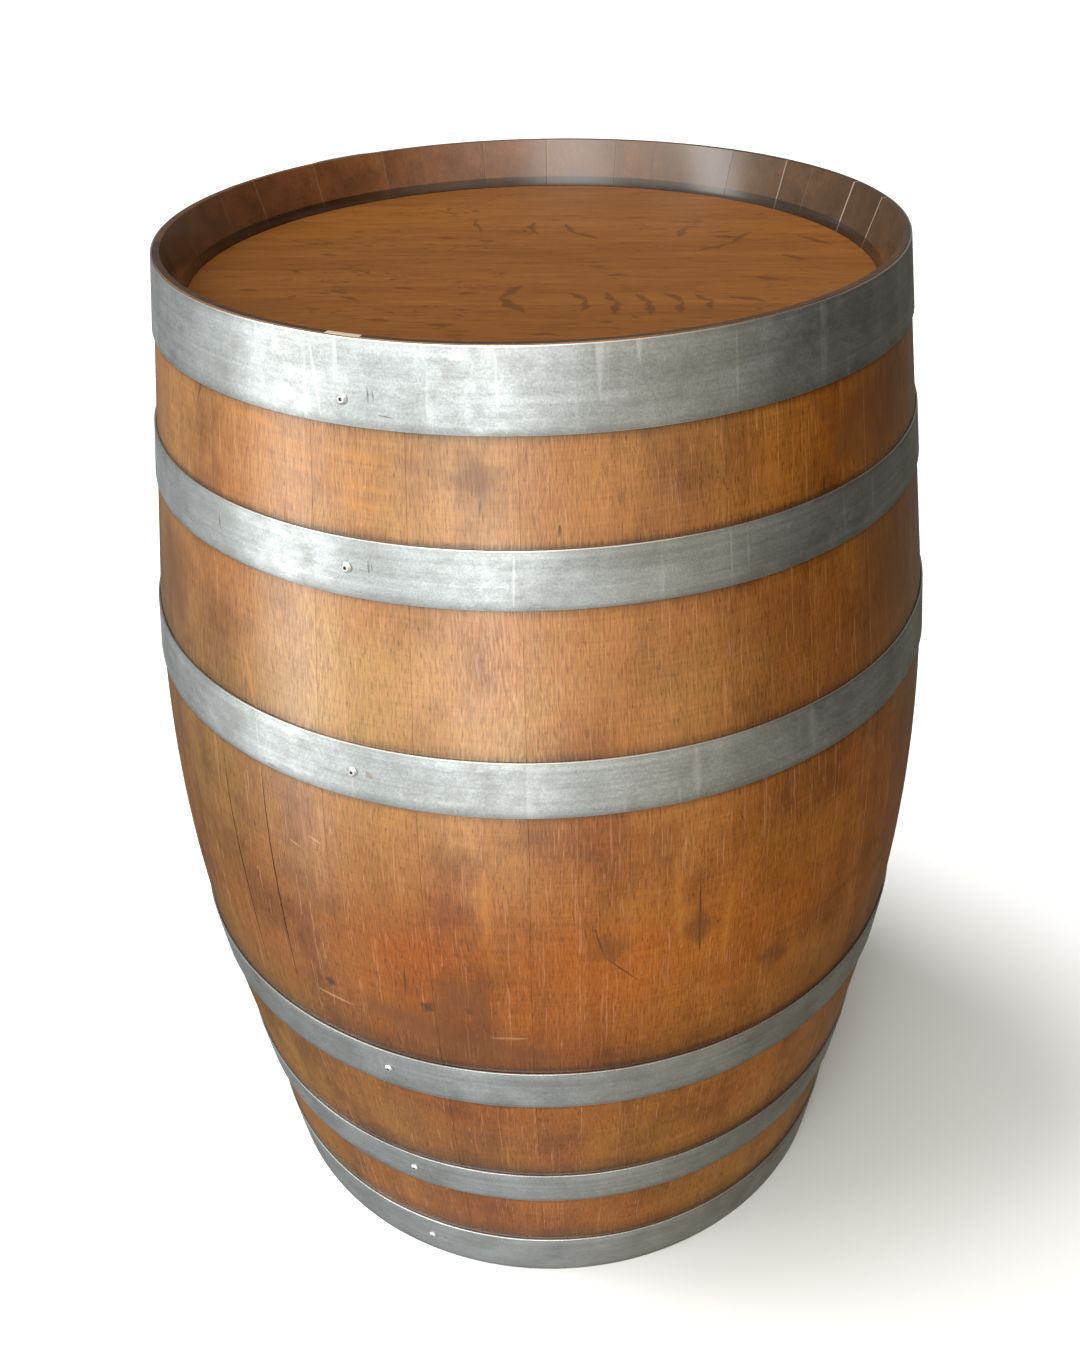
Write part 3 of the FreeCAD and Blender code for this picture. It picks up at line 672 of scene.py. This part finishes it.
HEAD_RAYS = [                 # dark rays on the top head: start and end (x, y) and width, in mm
    ((-51, 160), (-47, 122), 3), ((2, 141), (6, 106), 5), ((30, 136), (38, 106), 5),
    ((38, 106), (62, 82), 4), ((137, 106), (129, 82), 7), ((158, 84), (182, 76), 5),
    ((192, 92), (172, 58), 4), ((172, 58), (138, 34), 4), ((232, 80), (254, 44), 5),
    ((-162, 131), (-146, 127), 4), ((-86, 105), (-64, 100), 4), ((-46, 91), (-26, 86), 4),
    ((90, 150), (106, 147), 4), ((-180, 60), (-166, 57), 4), ((210, 20), (226, 8), 5),
    ((-10, -44), (-24, -76), 8), ((-24, -76), (-6, -112), 7), ((32, -66), (42, -88), 5),
    ((42, -88), (38, -112), 5), ((56, -70), (66, -92), 5), ((66, -92), (61, -118), 6),
    ((80, -72), (90, -96), 5), ((90, -96), (86, -124), 6), ((104, -76), (113, -98), 5),
    ((113, -98), (110, -122), 5), ((126, -78), (136, -96), 5), ((136, -96), (134, -114), 4),
    ((150, -86), (178, -100), 5), ((-238, -32), (-220, -38), 4), ((-124, -116), (-106, -121), 5),
    ((-78, -133), (-58, -136), 5), ((0, -160), (20, -165), 5), ((-110, -40), (-92, -45), 4),
    ((-200, 20), (-190, 6), 4), ((60, -20), (78, -23), 4), ((-60, -60), (-44, -63), 4),
    ((180, -40), (196, -46), 5), ((-150, -60), (-136, -70), 4),
]


def hoop_edges():
    """Each hoop's lower and upper edge as shares of the height."""
    return [(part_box(node)[0].z / HEIGHT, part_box(node)[1].z / HEIGHT) for node in HOOPS]


def grime_and_shade_stops():
    """Stops up the wall that are darker beside the hoops, most of all above the lower ones: partly grime,
    partly painted shade where the hoops' edges shade the wood.
    """
    stops = [(0, 1)]
    for low, high in sorted(hoop_edges()):
        lower_half = high < 0.5
        lower_bilge = 0.3 < high < 0.5
        below = [(low - 0.006, 1.0), (low - 0.0015, 0.70)]
        above = [(high + 0.0012, 0.30), (high + 0.0035, 0.18 if lower_half else 0.85)]
        above += [(high + 0.009, 0.62 if lower_half else 0.95)]
        above += [(high + 0.03, 0.84), (high + 0.075, 1.0)] if lower_bilge else [(high + 0.03, 1.0)]
        stops += (below if low > 0.02 else []) + (above if high < 0.98 else [])
    return sorted(stops)


def wandering(graph, grain, size):
    """Grain coordinates pushed sideways a little, so that no line is ruled."""
    bend = graph.noise(graph.scaled(grain, 4, 5), 3)
    sideways = graph.math("MULTIPLY", graph.math("SUBTRACT", bend, 0.5), size)
    return graph.vector("ADD", grain, graph.add("CombineXYZ", {0: sideways}).outputs[0])


def stave_oak():
    """Varnished quarter-sawn oak: upright grain, ray flecks, sanding marks, grime and painted shade at the
    hoops, and painted sheen, glints and shade round the wall.
    """
    graph = Finish("varnished_stave_oak", Coat_Roughness=0.26, Specular_IOR_Level=0.2)
    wall = graph.attribute("wall")
    grain = wandering(graph, graph.attribute("grain"), 0.02)
    seed = graph.split(grain)[2]
    azimuth, height, to_joint = graph.split(wall)
    share = graph.math("DIVIDE", height, HEIGHT / MM)
    figure = graph.noise(graph.scaled(grain, 22, 2.2), 6, 0.62, 0.8)
    colour = graph.ramp(figure, (0.15, OAK_DARK), (0.5, OAK), (0.85, OAK_LIGHT))
    tone = graph.ramp(graph.chance(seed), (0, 0.955), (1, 1.025))
    lines = graph.noise(graph.scaled(grain, 820, 95), 4, 0.66, 0.4)
    line_shade = graph.ramp(lines, (0.34, 0.66), (0.5, 1), (0.68, 1.13))
    pores = graph.noise(graph.scaled(grain, 760, 120), 2, 0.5)
    pore_shade = graph.ramp(pores, (0.62, 1), (0.72, 0.56))
    sanding = graph.noise(graph.scaled(grain, 14, 420), 4, 0.65)
    sanding_patch = graph.ramp(graph.noise(graph.scaled(wall, 0.06, 0.012), 2), (0.4, 0.4), (0.65, 1))
    sanding_shade = graph.mix(sanding_patch, (1, 1, 1), graph.ramp(sanding, (0.3, 0.82), (0.7, 1.12)))
    broad = graph.noise(graph.scaled(wall, 0.075, 0.0095, 0), 4, 0.6)
    broad_shade = graph.ramp(broad, (0.3, (0.60, 0.53, 0.48)), (0.5, (1, 1, 1)), (0.7, (1.15, 1.20, 1.15)))
    hue = graph.noise(graph.vector("ADD", graph.scaled(wall, 0.05, 0.006, 0), (40, 7, 0)), 3)
    hue_shade = graph.ramp(hue, (0.35, (1.06, 0.91, 0.88)), (0.65, (1, 1.03, 0.97)))
    specks = graph.noise(graph.scaled(wall, 1.6, 0.30, 0), 2, 0.5)
    speck_shade = graph.ramp(specks, (0.70, 1), (0.76, 0.5))
    # the last factor paints sheen and shade round and up the wall, on top of the varnish's weathered tint
    colour = graph.times(colour, tone, line_shade, pore_shade, sanding_shade, broad_shade, hue_shade,
                         speck_shade, varnish_tint_and_painted_light(graph, azimuth, share))
    colour = graph.mix(ray_flecks(graph, grain, wall), colour, (0.60, 0.31, 0.18))
    uneven = graph.noise(graph.scaled(wall, 1.1, 0.02), 3)
    uneven = graph.math("MULTIPLY", graph.math("SUBTRACT", uneven, 0.5), 0.008)
    level = graph.math("ADD", share, uneven)
    # painted shade and grime: the wall darkens along the hoops' edges, most of all above the lower hoops
    colour = graph.times(colour, graph.ramp(level, *grime_and_shade_stops()))
    seam = graph.ramp(graph.math("DIVIDE", to_joint, 2.0, clamp=True), (0.1, 1), (0.4, 0))
    seam = graph.times(seam, graph.ramp(graph.chance(seed, 5.5), (0.4, 0), (0.85, 0.12)))
    colour = graph.mix(seam, colour, (0.07, 0.028, 0.01))
    flat_wall = flat_on_wall(graph, wall, 2.2)
    colour = graph.marked(colour, flat_wall, DARK_MARKS, (0.035, 0.014, 0.006), 0.85)
    colour = graph.marked(colour, flat_wall, FLAMES, (0.50, 0.20, 0.035), 0.32)
    colour = graph.marked(colour, flat_wall, PALE_MARKS, (0.62, 0.36, 0.17), 0.5)
    # stains, and painted shade on the upper right of the wall
    colour = graph.marked(colour, flat_wall, DARK_PATCHES, (0.13, 0.045, 0.011), 0.7)
    raised = graph.noise(graph.scaled(grain, 400, 70), 3, 0.6, 0.9)
    flecks = graph.noise(graph.scaled(grain, 760, 80), 3, 0.6, 0.6)
    flecks = graph.ramp(flecks, (0.44, 0), (0.66, 0.34))
    # painted highlight: pale glint flecks in the base colour where the varnish catches the light
    colour = graph.marked(colour, flat_wall, GLEAMS, (0.66, 0.44, 0.25), flecks)
    graph.shade("Base Color", colour)
    graph.shade("Coat Weight", graph.ramp(share, (0.5, 0.4), (0.7, 1)))
    worn = graph.noise(graph.scaled(grain, 30, 18), 4)
    graph.shade("Roughness", graph.ramp(worn, (0.3, 0.34), (0.7, 0.52)))
    graph.bump((raised, 0.26 * MM), (pore_shade, 0.05 * MM), (sanding, 0.04 * MM))
    return graph.material


VARNISH_TINT_AND_PAINTED_LIGHT = (                # the varnish's tint up the wall, at four azimuths, partly its weathered colour and partly painted sheen and painted shade; heights are shares
    (-135, (0.2, (0.72, 0.88, 1.1)), (0.5, (0.56, 0.66, 0.80)),
     (0.7, (0.66, 0.94, 1.6)), (0.9, (0.98, 1.22, 2.2))),
    (-105, (0.2, (0.60, 0.58, 0.5)), (0.5, (0.70, 0.54, 0.35)),
     (0.7, (1.08, 1.7, 4.2)), (0.9, (1, 1.45, 3.6))),
    (-80, (0.2, (0.74, 0.80, 0.85)), (0.5, (0.88, 0.80, 0.5)),
     (0.7, (0.84, 0.94, 1.5)), (0.9, (0.88, 1.04, 1.8))),
    (-50, (0.2, (0.96, 1.2, 2.1)), (0.5, (0.84, 0.80, 0.76)),
     (0.7, (0.55, 0.60, 0.75)), (0.9, (0.62, 0.62, 0.4))),
)


def varnish_tint_and_painted_light(graph, azimuth, share):
    """The varnish's tint round and up the wall: partly its weathered colour, partly painted sheen and painted
    shade where the light falls.
    """
    turn = graph.math("DIVIDE", graph.math("ADD", azimuth, 180.0), 360.0)
    tint = graph.ramp(share, *VARNISH_TINT_AND_PAINTED_LIGHT[0][1:])
    for (before, *_), (after, *stops) in zip(VARNISH_TINT_AND_PAINTED_LIGHT, VARNISH_TINT_AND_PAINTED_LIGHT[1:]):
        step = graph.ramp(turn, ((before + 180) / 360, 0.0), ((after + 180) / 360, 1.0))
        tint = graph.mix(step, tint, graph.ramp(share, *stops))
    return tint


def flat_on_wall(graph, wall, wander):
    """Places on the wall in millimetres, pushed about so that marks aren't ruled lines."""
    push = graph.scaled(graph.push(graph.scaled(wall, 0.5, 0.09), 4.0), wander, wander, 0)
    return graph.vector("ADD", graph.scaled(wall, WALL_SCALE, 1, 0), push)


def ray_flecks(graph, grain, wall):
    """Faint pale rays that wave up the wall in patches."""
    rays = graph.noise(graph.scaled(grain, 190, 11), 2, 0.5, 0.9)
    band = graph.ramp(rays, (0.45, 0), (0.5, 1), (0.55, 0))
    patch = graph.ramp(graph.noise(graph.scaled(wall, 0.10, 0.006), 2), (0.52, 0), (0.66, 0.40))
    return graph.times(band, patch)


def chime_oak():
    """The staves' cut ends: brown end grain, rubbed smooth, with pale cuts at the joints, painted shade on
    the right and on the ledge above the head, and a painted sheen towards the back.
    """
    graph = Finish("chime_oak", Coat_Weight=1.0, Coat_Roughness=0.17, Specular_IOR_Level=0.3)
    grain = graph.attribute("grain")
    wall = graph.attribute("wall")
    azimuth, height, to_joint = graph.split(wall)
    seed = graph.split(grain)[2]
    speckle = graph.noise(graph.scaled(grain, 500, 260), 4, 0.65)
    blotch = graph.noise(graph.scaled(grain, 30, 40), 4, 0.6)
    colour = graph.ramp(blotch, (0.3, (0.068, 0.032, 0.016)), (0.55, (0.108, 0.048, 0.021)),
                        (0.75, (0.150, 0.068, 0.032)))
    tone = graph.ramp(graph.chance(seed, 1.7), (0, 0.9), (1, 1.08))
    colour = graph.times(colour, tone, graph.ramp(speckle, (0.3, 0.78), (0.7, 1.15)))
    cut = graph.ramp(graph.math("DIVIDE", to_joint, 2.0, clamp=True), (0.2, 1), (0.45, 0))
    bearing = graph.math("DIVIDE", azimuth, 180.0)
    # painted light: the rim is darker at the front and right and lighter towards the back, for the bevel's
    # shade and sheen, with its own olive and redder browns
    side = graph.ramp(bearing, (0.0, (0.62, 0.64, 0.5)), (0.3, (0.66, 0.68, 0.5)),
                      (0.42, (1.1, 1.0, 0.8)), (0.65, (1.5, 1.15, 0.8)), (1.0, (1.15, 1.0, 0.8)))
    colour = graph.times(colour, side)
    seen = graph.ramp(bearing, (0.004, 0.05), (0.01, 0.7), (0.14, 0.7), (0.155, 0.05),
                      (0.195, 0.05), (0.205, 0.7), (0.235, 0.7), (0.25, 0.05))
    colour = graph.mix(graph.math("MULTIPLY", cut, seen), colour, (0.42, 0.33, 0.26))
    chip = graph.stroke(flat_on_wall(graph, wall, 3.0), *RIM_CHIP)
    colour = graph.mix(graph.ramp(chip, (0.1, 0), (0.3, 1)), colour, (0.72, 0.64, 0.46))
    from_middle = graph.math("ABSOLUTE", graph.math("SUBTRACT", height, MIDDLE / MM))
    depth = graph.math("SUBTRACT", MIDDLE / MM, from_middle)
    foot = (HEIGHT - SHAPE.corners[2][1]) / MM
    # painted shade, with a darker finish: the land between the bevel and the head is darkened where its
    # recess lies in shadow
    land = graph.ramp(graph.math("DIVIDE", depth, 2 * foot), (0.492, 1), (0.503, 0.3))
    graph.shade("Base Color", graph.times(colour, land))
    graph.shade("Roughness", graph.ramp(blotch, (0.3, 0.42), (0.7, 0.6)))
    graph.bump((speckle, 0.05 * MM))
    return graph.material


def toasted_oak():
    """The charred inside of the barrel, blistered into small squares."""
    graph = Finish("toasted_oak")
    grain = graph.attribute("grain")
    blisters = graph.noise(graph.scaled(grain, 130, 60), 4, 0.6)
    colour = graph.ramp(blisters, (0.35, (0.012, 0.008, 0.006)), (0.6, (0.045, 0.024, 0.014)))
    graph.shade("Base Color", colour)
    graph.shade("Roughness", graph.ramp(blisters, (0.3, 0.95), (0.7, 0.7)))
    graph.bump((blisters, 0.5 * MM))
    return graph.material


def head_oak(name, marks):
    """The heads' boards: long flat grain with dark curling rays."""
    graph = Finish(name, Coat_Weight=0.12, Coat_Roughness=0.3, Specular_IOR_Level=0.25)
    grain = graph.attribute("grain")
    figure = graph.noise(graph.scaled(grain, 30, 3.6), 6, 0.62, 0.5)
    colour = graph.ramp(figure, (0.15, (0.160, 0.052, 0.010)), (0.5, (0.212, 0.077, 0.0145)),
                        (0.85, (0.262, 0.102, 0.0215)))
    seed = graph.split(grain)[2]
    tone = graph.ramp(graph.chance(seed), (0, 0.92), (1, 1.06))
    lines = graph.noise(graph.scaled(grain, 430, 17), 4, 0.68, 0.3)
    lines_shade = graph.ramp(lines, (0.3, 0.70), (0.5, 1), (0.7, 1.20))
    pores = graph.noise(graph.scaled(grain, 800, 60), 2)
    pore_shade = graph.ramp(pores, (0.62, 1), (0.72, 0.5))
    colour = graph.times(colour, tone, lines_shade, pore_shade)
    curl = graph.noise(graph.scaled(grain, 75, 34), 1.0, 0.5, 1.3)
    curl_band = graph.ramp(curl, (0.44, 0), (0.47, 1), (0.50, 1), (0.53, 0))
    patch = graph.noise(graph.scaled(grain, 17, 10), 2)
    curl_patch = graph.ramp(patch, (0.53, 0), (0.6, 1))
    breaks = graph.ramp(graph.noise(graph.scaled(grain, 48, 60), 1), (0.5, 0), (0.56, 1))
    dashes = graph.ramp(graph.noise(graph.scaled(grain, 230, 34), 2, 0.5, 0.6), (0.655, 0), (0.70, 1))
    dash_patch = graph.ramp(patch, (0.42, 0), (0.5, 1))
    curls = graph.times(curl_band, curl_patch, breaks)
    rays = graph.mix(1.0, curls, graph.times(dashes, dash_patch), "LIGHTEN")
    curling = graph.scaled(graph.push(graph.scaled(grain, 45, 45), 2.0), 16, 16, 0)
    flat = graph.vector("ADD", graph.scaled(graph.place(), 1 / MM, 1 / MM, 0), curling)
    for start, end, width in marks:
        mark = graph.ramp(graph.stroke(flat, start, end, width), (0.1, 0), (0.55, 1))
        rays = graph.mix(1.0, rays, mark, "LIGHTEN")
    colour = graph.mix(graph.math("MULTIPLY", rays, 0.52), colour, (0.062, 0.021, 0.006))
    graph.shade("Base Color", colour)
    graph.shade("Roughness", graph.ramp(figure, (0.3, 0.55), (0.7, 0.42)))
    graph.bump((lines, 0.05 * MM), (pore_shade, 0.05 * MM))
    return graph.material


def bung_wood():
    """A pale turned plug with rings of grain across its face."""
    graph = Finish("turned_bung_wood", Coat_Weight=0.1)
    grain = graph.attribute("grain")
    figure = graph.noise(graph.scaled(grain, 60, 160), 4, 0.6, 0.5)
    colour = graph.ramp(figure, (0.3, (0.30, 0.165, 0.075)), (0.7, (0.52, 0.34, 0.18)))
    stain = graph.noise(graph.scaled(grain, 25, 25), 3)
    graph.shade("Base Color", graph.times(colour, graph.ramp(stain, (0.35, (0.55, 0.40, 0.38)), (0.6, 1))))
    graph.shade("Roughness", graph.ramp(figure, (0.3, 0.7), (0.7, 0.5)))
    graph.bump((figure, 0.08 * MM))
    return graph.material


def dowel_wood():
    """The heads' pins, plain turned wood that hardly shows."""
    graph = Finish("dowel_wood")
    fibres = graph.noise(graph.scaled(graph.place(), 400, 60, 400), 3)
    graph.shade("Base Color", graph.ramp(fibres, (0.3, (0.30, 0.17, 0.08)), (0.7, (0.5, 0.32, 0.17))))
    graph.shade("Roughness", graph.ramp(fibres, (0.3, 0.75), (0.7, 0.6)))
    return graph.material


# ---- steel

HOOP_RUNS = [                 # pale runs down the zinc
    ((-64.2, 946), (-64.3, 897), 1.8), ((-94.7, 946), (-94.5, 905), 1.4), ((-101.5, 944), (-98.5, 941), 2.2),
    ((-65.9, 813), (-65.8, 776), 1.8), ((-63.5, 813), (-63.4, 778), 1.5), ((-46.8, 812), (-46.6, 778), 1.8),
    ((-93.1, 812), (-93.3, 776), 2.0), ((-71.4, 656), (-71.2, 614), 6.0), ((-54, 655), (-53.6, 614), 7.0),
    ((-129.8, 656), (-129.6, 613), 1.6), ((-119, 944), (-117.5, 896), 2.4),
]
HOOP_CUTS = [                 # nicks that hold dirt
    ((-110.9, 919), (-110.8, 909), 1.3), ((-110.2, 918), (-110.1, 911), 1.0),
    ((-111.4, 801), (-111.3, 792), 1.3), ((-110.9, 800), (-110.9, 794), 0.9),
    ((-136.4, 801), (-136.2, 791), 1.2), ((-109.5, 902), (-107.5, 901), 0.8),
]
HOOP_RUST = [                 # rust specks
    ((-112.5, 637), (-111.7, 632), 3.6), ((-111.9, 308), (-111.7, 303), 2.2),
    ((-111.7, 152), (-111.5, 143), 2.2),
    ((-111.9, 33), (-111.7, 29), 1.8), ((-128, 615), (-126.5, 614), 2.0),
]


def hoop_steel():
    """Galvanised strip: a mottled zinc skin with brushing, pale runs, stains, painted shade by side and
    height, and bright edges that are partly a painted highlight.
    """
    graph = Finish("galvanised_hoop_steel", Metallic=0.94, IOR=1.8)
    grain = graph.attribute("grain")
    wall = graph.attribute("wall")
    azimuth, height, across = graph.split(wall)
    mottle = graph.noise(graph.scaled(grain, 75, 110), 6, 0.7, 0.4)
    colour = graph.ramp(mottle, (0.3, (0.45, 0.47, 0.47)), (0.5, (0.50, 0.525, 0.53)),
                        (0.7, (0.56, 0.595, 0.60)))
    cloud = graph.noise(graph.scaled(wall, 0.13, 0.02, 0), 4, 0.6)
    colour = graph.times(colour, graph.ramp(cloud, (0.3, (0.80, 0.80, 0.78)), (0.7, (1.14, 1.16, 1.18))))
    speck = graph.noise(graph.scaled(grain, 700, 700), 2, 0.6)
    speck_shade = graph.ramp(speck, (0.3, 0.82), (0.7, 1.14))
    brushed = graph.noise(graph.scaled(grain, 6, 330), 4, 0.6)
    brushed_shade = graph.ramp(brushed, (0.3, 0.88), (0.7, 1.1))
    share = graph.math("DIVIDE", height, HEIGHT / MM)
    turn = graph.math("DIVIDE", graph.math("ADD", azimuth, 180.0), 360.0)
    # painted shade by side and height: the lower left hoops and the top right are darkened for how the light
    # falls, partly a dirtier zinc lower down
    left_shading = graph.ramp(share, (0.1, 0.85), (0.35, 0.76), (0.62, 1.05), (0.9, 1))
    right_shading = graph.ramp(share, (0.35, 0.98), (0.62, 1.02), (0.8, 0.84))
    tone = graph.mix(graph.ramp(turn, (0.14, 0), (0.22, 1)), left_shading, right_shading)
    colour = graph.times(colour, speck_shade, brushed_shade, tone)
    runs = graph.noise(graph.scaled(grain, 95, 7), 3, 0.5)
    runs = graph.ramp(runs, (0.66, 0), (0.74, 0.3))
    colour = graph.mix(runs, colour, (0.80, 0.83, 0.82))
    flat_wall = flat_on_wall(graph, wall, 0.8)
    colour = graph.marked(colour, flat_wall, HOOP_RUNS, (0.84, 0.87, 0.86), 0.33)
    colour = graph.marked(colour, flat_wall, HOOP_CUTS, (0.10, 0.10, 0.09), 0.8)
    colour = graph.marked(colour, flat_wall, HOOP_RUST, (0.30, 0.17, 0.09), 0.6)
    stain = graph.ramp(graph.noise(graph.scaled(grain, 22, 30), 4, 0.6), (0.55, 0), (0.75, 0.35))
    colour = graph.mix(stain, colour, (0.24, 0.22, 0.19))
    border = graph.math("ABSOLUTE", across)
    dirt = graph.ramp(border, (0.80, 0), (0.955, 0.3), (0.97, 0))
    colour = graph.mix(dirt, colour, (0.20, 0.18, 0.15))
    # painted highlight, partly burnished zinc: the strip's edges are lightened where they catch the light
    edge = graph.ramp(border, (0.965, 0), (0.985, 0.85))
    colour = graph.mix(edge, colour, (0.86, 0.87, 0.85))
    graph.shade("Base Color", colour)
    rough = graph.ramp(mottle, (0.3, 0.56), (0.7, 0.42))
    graph.shade("Roughness", graph.mix(edge, rough, (0.3, 0.3, 0.3)))
    graph.bump((mottle, 0.10 * MM), (speck, 0.03 * MM), (brushed, 0.02 * MM))
    return graph.material


def small_steel(name, tint, size):
    """Zinc-plated fastenings, dulled, with painted shade in their hollows."""
    graph = Finish(name, Metallic=0.9)
    skin = graph.noise(graph.scaled(graph.place(), size, size, size), 4, 0.6)
    dull = tuple(part * 0.6 for part in tint)
    # painted shade: ambient occlusion darkens the recesses and the contact round each head
    shelter = graph.add("AmbientOcclusion", {"Distance": 3 * MM}).outputs["AO"]
    hollow_shade = graph.ramp(shelter, (0.3, 0.06), (0.75, 1))
    graph.shade("Base Color", graph.times(graph.ramp(skin, (0.3, dull), (0.65, tint)), hollow_shade))
    graph.shade("Roughness", graph.ramp(skin, (0.3, 0.5), (0.7, 0.32)))
    graph.bump((skin, 0.05 * MM))
    return graph.material


# ---- studio

KEY_AZIMUTH = -112
ROOM_LIGHT = (                # nearness to the key azimuth, from -1 to 1, and a grey
    (-1.0, 0.10), (-0.3, 0.0), (0.2, 0.0), (0.5, 0.20), (0.75, 0.40), (1.0, 0.40),
)
GROUND_LIGHT = ((-1.0, 0.12), (-0.3, 0.09), (0.2, 0.18), (0.6, 0.36), (1.0, 0.38))
HORIZON = ((0.14, 0.0), (0.38, 1.0))   # from straight down, 0, to straight up, 1
WINDOWS = [                   # azimuth, half width and fade in degrees, and gain
    (-161, 4, 11, 4.2), (-106, 6, 18, 2.6), (-56, 6, 24, 0.42), (175, 15, 65, 0.2),
]
CEILING_TILT = (-125, 1.2)    # azimuth, and height against reach
CEILING_LIGHT = ((0.62, 0.0), (1.0, 1.5))
ROOM_TINT = (1.0, 1.0, 0.97)
WARM_SIDE, WARM_TINT = -5, (0.9, 0.72, 0.5)
ROOM_STRENGTH = 1.35
FLOOR_REACH = 30
FLOOR_WASH = 4.2              # a sun that lights only the floor
WASH_ANGLE = 26               # degrees across it, which softens the barrel's shadow
WASH_DIRECTION = (168, 1.9)   # azimuth, and height against reach


def panel(name, corners, material):
    """A flat board of the studio, from its corners."""
    mesh = bpy.data.meshes.new(name)
    mesh.from_pydata(corners, [], [tuple(range(len(corners)))])
    mesh.materials.append(material)
    board = in_scene(name, mesh)
    return board


def floor_paint():
    graph = Finish("pale_floor", Specular_IOR_Level=0.2)
    cloud = graph.noise(graph.scaled(graph.place(), 1.5, 1.5), 3)
    graph.shade("Base Color", graph.ramp(cloud, (0.3, (0.60, 0.60, 0.60)), (0.7, (0.62, 0.62, 0.62))))
    graph.shade("Roughness", graph.ramp(cloud, (0.3, 0.75), (0.7, 0.85)))
    return graph.material


def toward(azimuth):
    turn = math.radians(azimuth)
    return (math.cos(turn), math.sin(turn), 0)


def make_surroundings():
    """A soft room: bright to the front left, with window bays, and dim and warm to the right."""
    world = bpy.data.worlds.new("studio")
    world.use_nodes = True
    graph = Graph(world.node_tree)
    direction = graph.place("Generated")
    flat = graph.vector("NORMALIZE", graph.scaled(direction, 1, 1, 0))
    light = facing(graph, flat, KEY_AZIMUTH, *ROOM_LIGHT)
    for azimuth, half_width, fade, gain in WINDOWS:
        edges = (math.cos(math.radians(fade)), 0.0), (math.cos(math.radians(half_width)), gain)
        light = graph.mix(1.0, light, facing(graph, flat, azimuth, *edges), "ADD")
    rise = graph.math("ADD", graph.math("MULTIPLY", graph.split(direction)[2], 0.5), 0.5)
    ground = facing(graph, flat, KEY_AZIMUTH, *GROUND_LIGHT)
    light = graph.mix(graph.ramp(rise, *HORIZON), ground, light)
    azimuth, lift = CEILING_TILT
    overhead = (Vector(toward(azimuth)) + Vector((0, 0, lift))).normalized()
    overhead = graph.vector("DOT_PRODUCT", graph.vector("NORMALIZE", direction), tuple(overhead), result=1)
    light = graph.mix(1.0, light, graph.ramp(overhead, *CEILING_LIGHT), "ADD")
    warmth = facing(graph, flat, WARM_SIDE, (0.1, 0), (0.8, 1))
    light = graph.times(light, ROOM_TINT, graph.mix(warmth, (1, 1, 1), WARM_TINT))
    background = graph.add("Background", {"Color": light, "Strength": ROOM_STRENGTH})
    graph.add("OutputWorld", {0: background.outputs[0]})
    bpy.context.scene.world = world


def facing(graph, flat, azimuth, *stops):
    """A grey that depends on how nearly a level direction points to an azimuth."""
    nearness = graph.vector("DOT_PRODUCT", flat, toward(azimuth), result=1)
    share = graph.math("ADD", graph.math("MULTIPLY", nearness, 0.5), 0.5)
    return graph.ramp(share, *((place / 2 + 0.5, grey) for place, grey in stops))


def make_studio():
    """A pale floor under its own wash of light, in a soft room."""
    signs = ((-1, -1), (1, -1), (1, 1), (-1, 1))
    floor = panel("floor", [(x * FLOOR_REACH, y * FLOOR_REACH, 0) for x, y in signs], floor_paint())
    floor.visible_diffuse = False
    floor.visible_glossy = False
    lit = bpy.data.collections.new("floor_only")
    lit.objects.link(floor)
    wash = bpy.data.lights.new("floor_wash", "SUN")
    wash.energy = FLOOR_WASH
    wash.angle = math.radians(WASH_ANGLE)
    light = in_scene("floor_wash", wash)
    azimuth, lift = WASH_DIRECTION
    beam = -Vector(toward(azimuth)) - Vector((0, 0, lift))
    light.rotation_euler = beam.to_track_quat("-Z", "Y").to_euler()
    light.light_linking.receiver_collection = lit
    make_surroundings()
    bpy.context.scene.view_settings.view_transform = "Standard"


def make_camera():
    data = bpy.data.cameras.new("camera")
    data.lens = CAMERA_LENS
    camera = in_scene("camera", data)
    turns = Matrix.Rotation(math.radians(90 + CAMERA_PITCH), 4, "X")
    turns = turns @ Matrix.Rotation(math.radians(CAMERA_PAN), 4, "Y")
    turns = turns @ Matrix.Rotation(math.radians(CAMERA_ROLL), 4, "Z")
    camera.matrix_world = Matrix.Translation((0, -CAMERA_DISTANCE, CAMERA_HEIGHT)) @ turns
    bpy.context.scene.camera = camera


# ---- the barrel

def finish_node(node, material):
    """Gives a CAD node that stays as it is its finish."""
    NODES[node].data.materials.clear()
    NODES[node].data.materials.append(material)


def make_barrel():
    stave_finish = [stave_oak(), chime_oak(), toasted_oak()]
    for number, name in enumerate(STAVES):
        make_stave(number, name, stave_finish)
    steel = hoop_steel()
    for node in HOOPS:
        make_hoop(node, steel)
    heads = {"top": head_oak("varnished_top_head_oak", HEAD_RAYS),
             "bottom": head_oak("varnished_bottom_head_oak", [])}
    for node in BOARDS:
        make_board(node, heads[node.split("_")[0]])
    make_bung(bung_wood())
    pins = dowel_wood()
    finish_node("top_head_dowels", pins)
    finish_node("bottom_head_dowels", pins)
    finish_node("hoop_rivets", small_steel("rivet_steel_dull", (0.45, 0.46, 0.45), 300))
    finish_node("hoop_screws", small_steel("screw_steel_bright", (0.85, 0.86, 0.84), 500))


make_camera()
make_studio()
make_barrel()
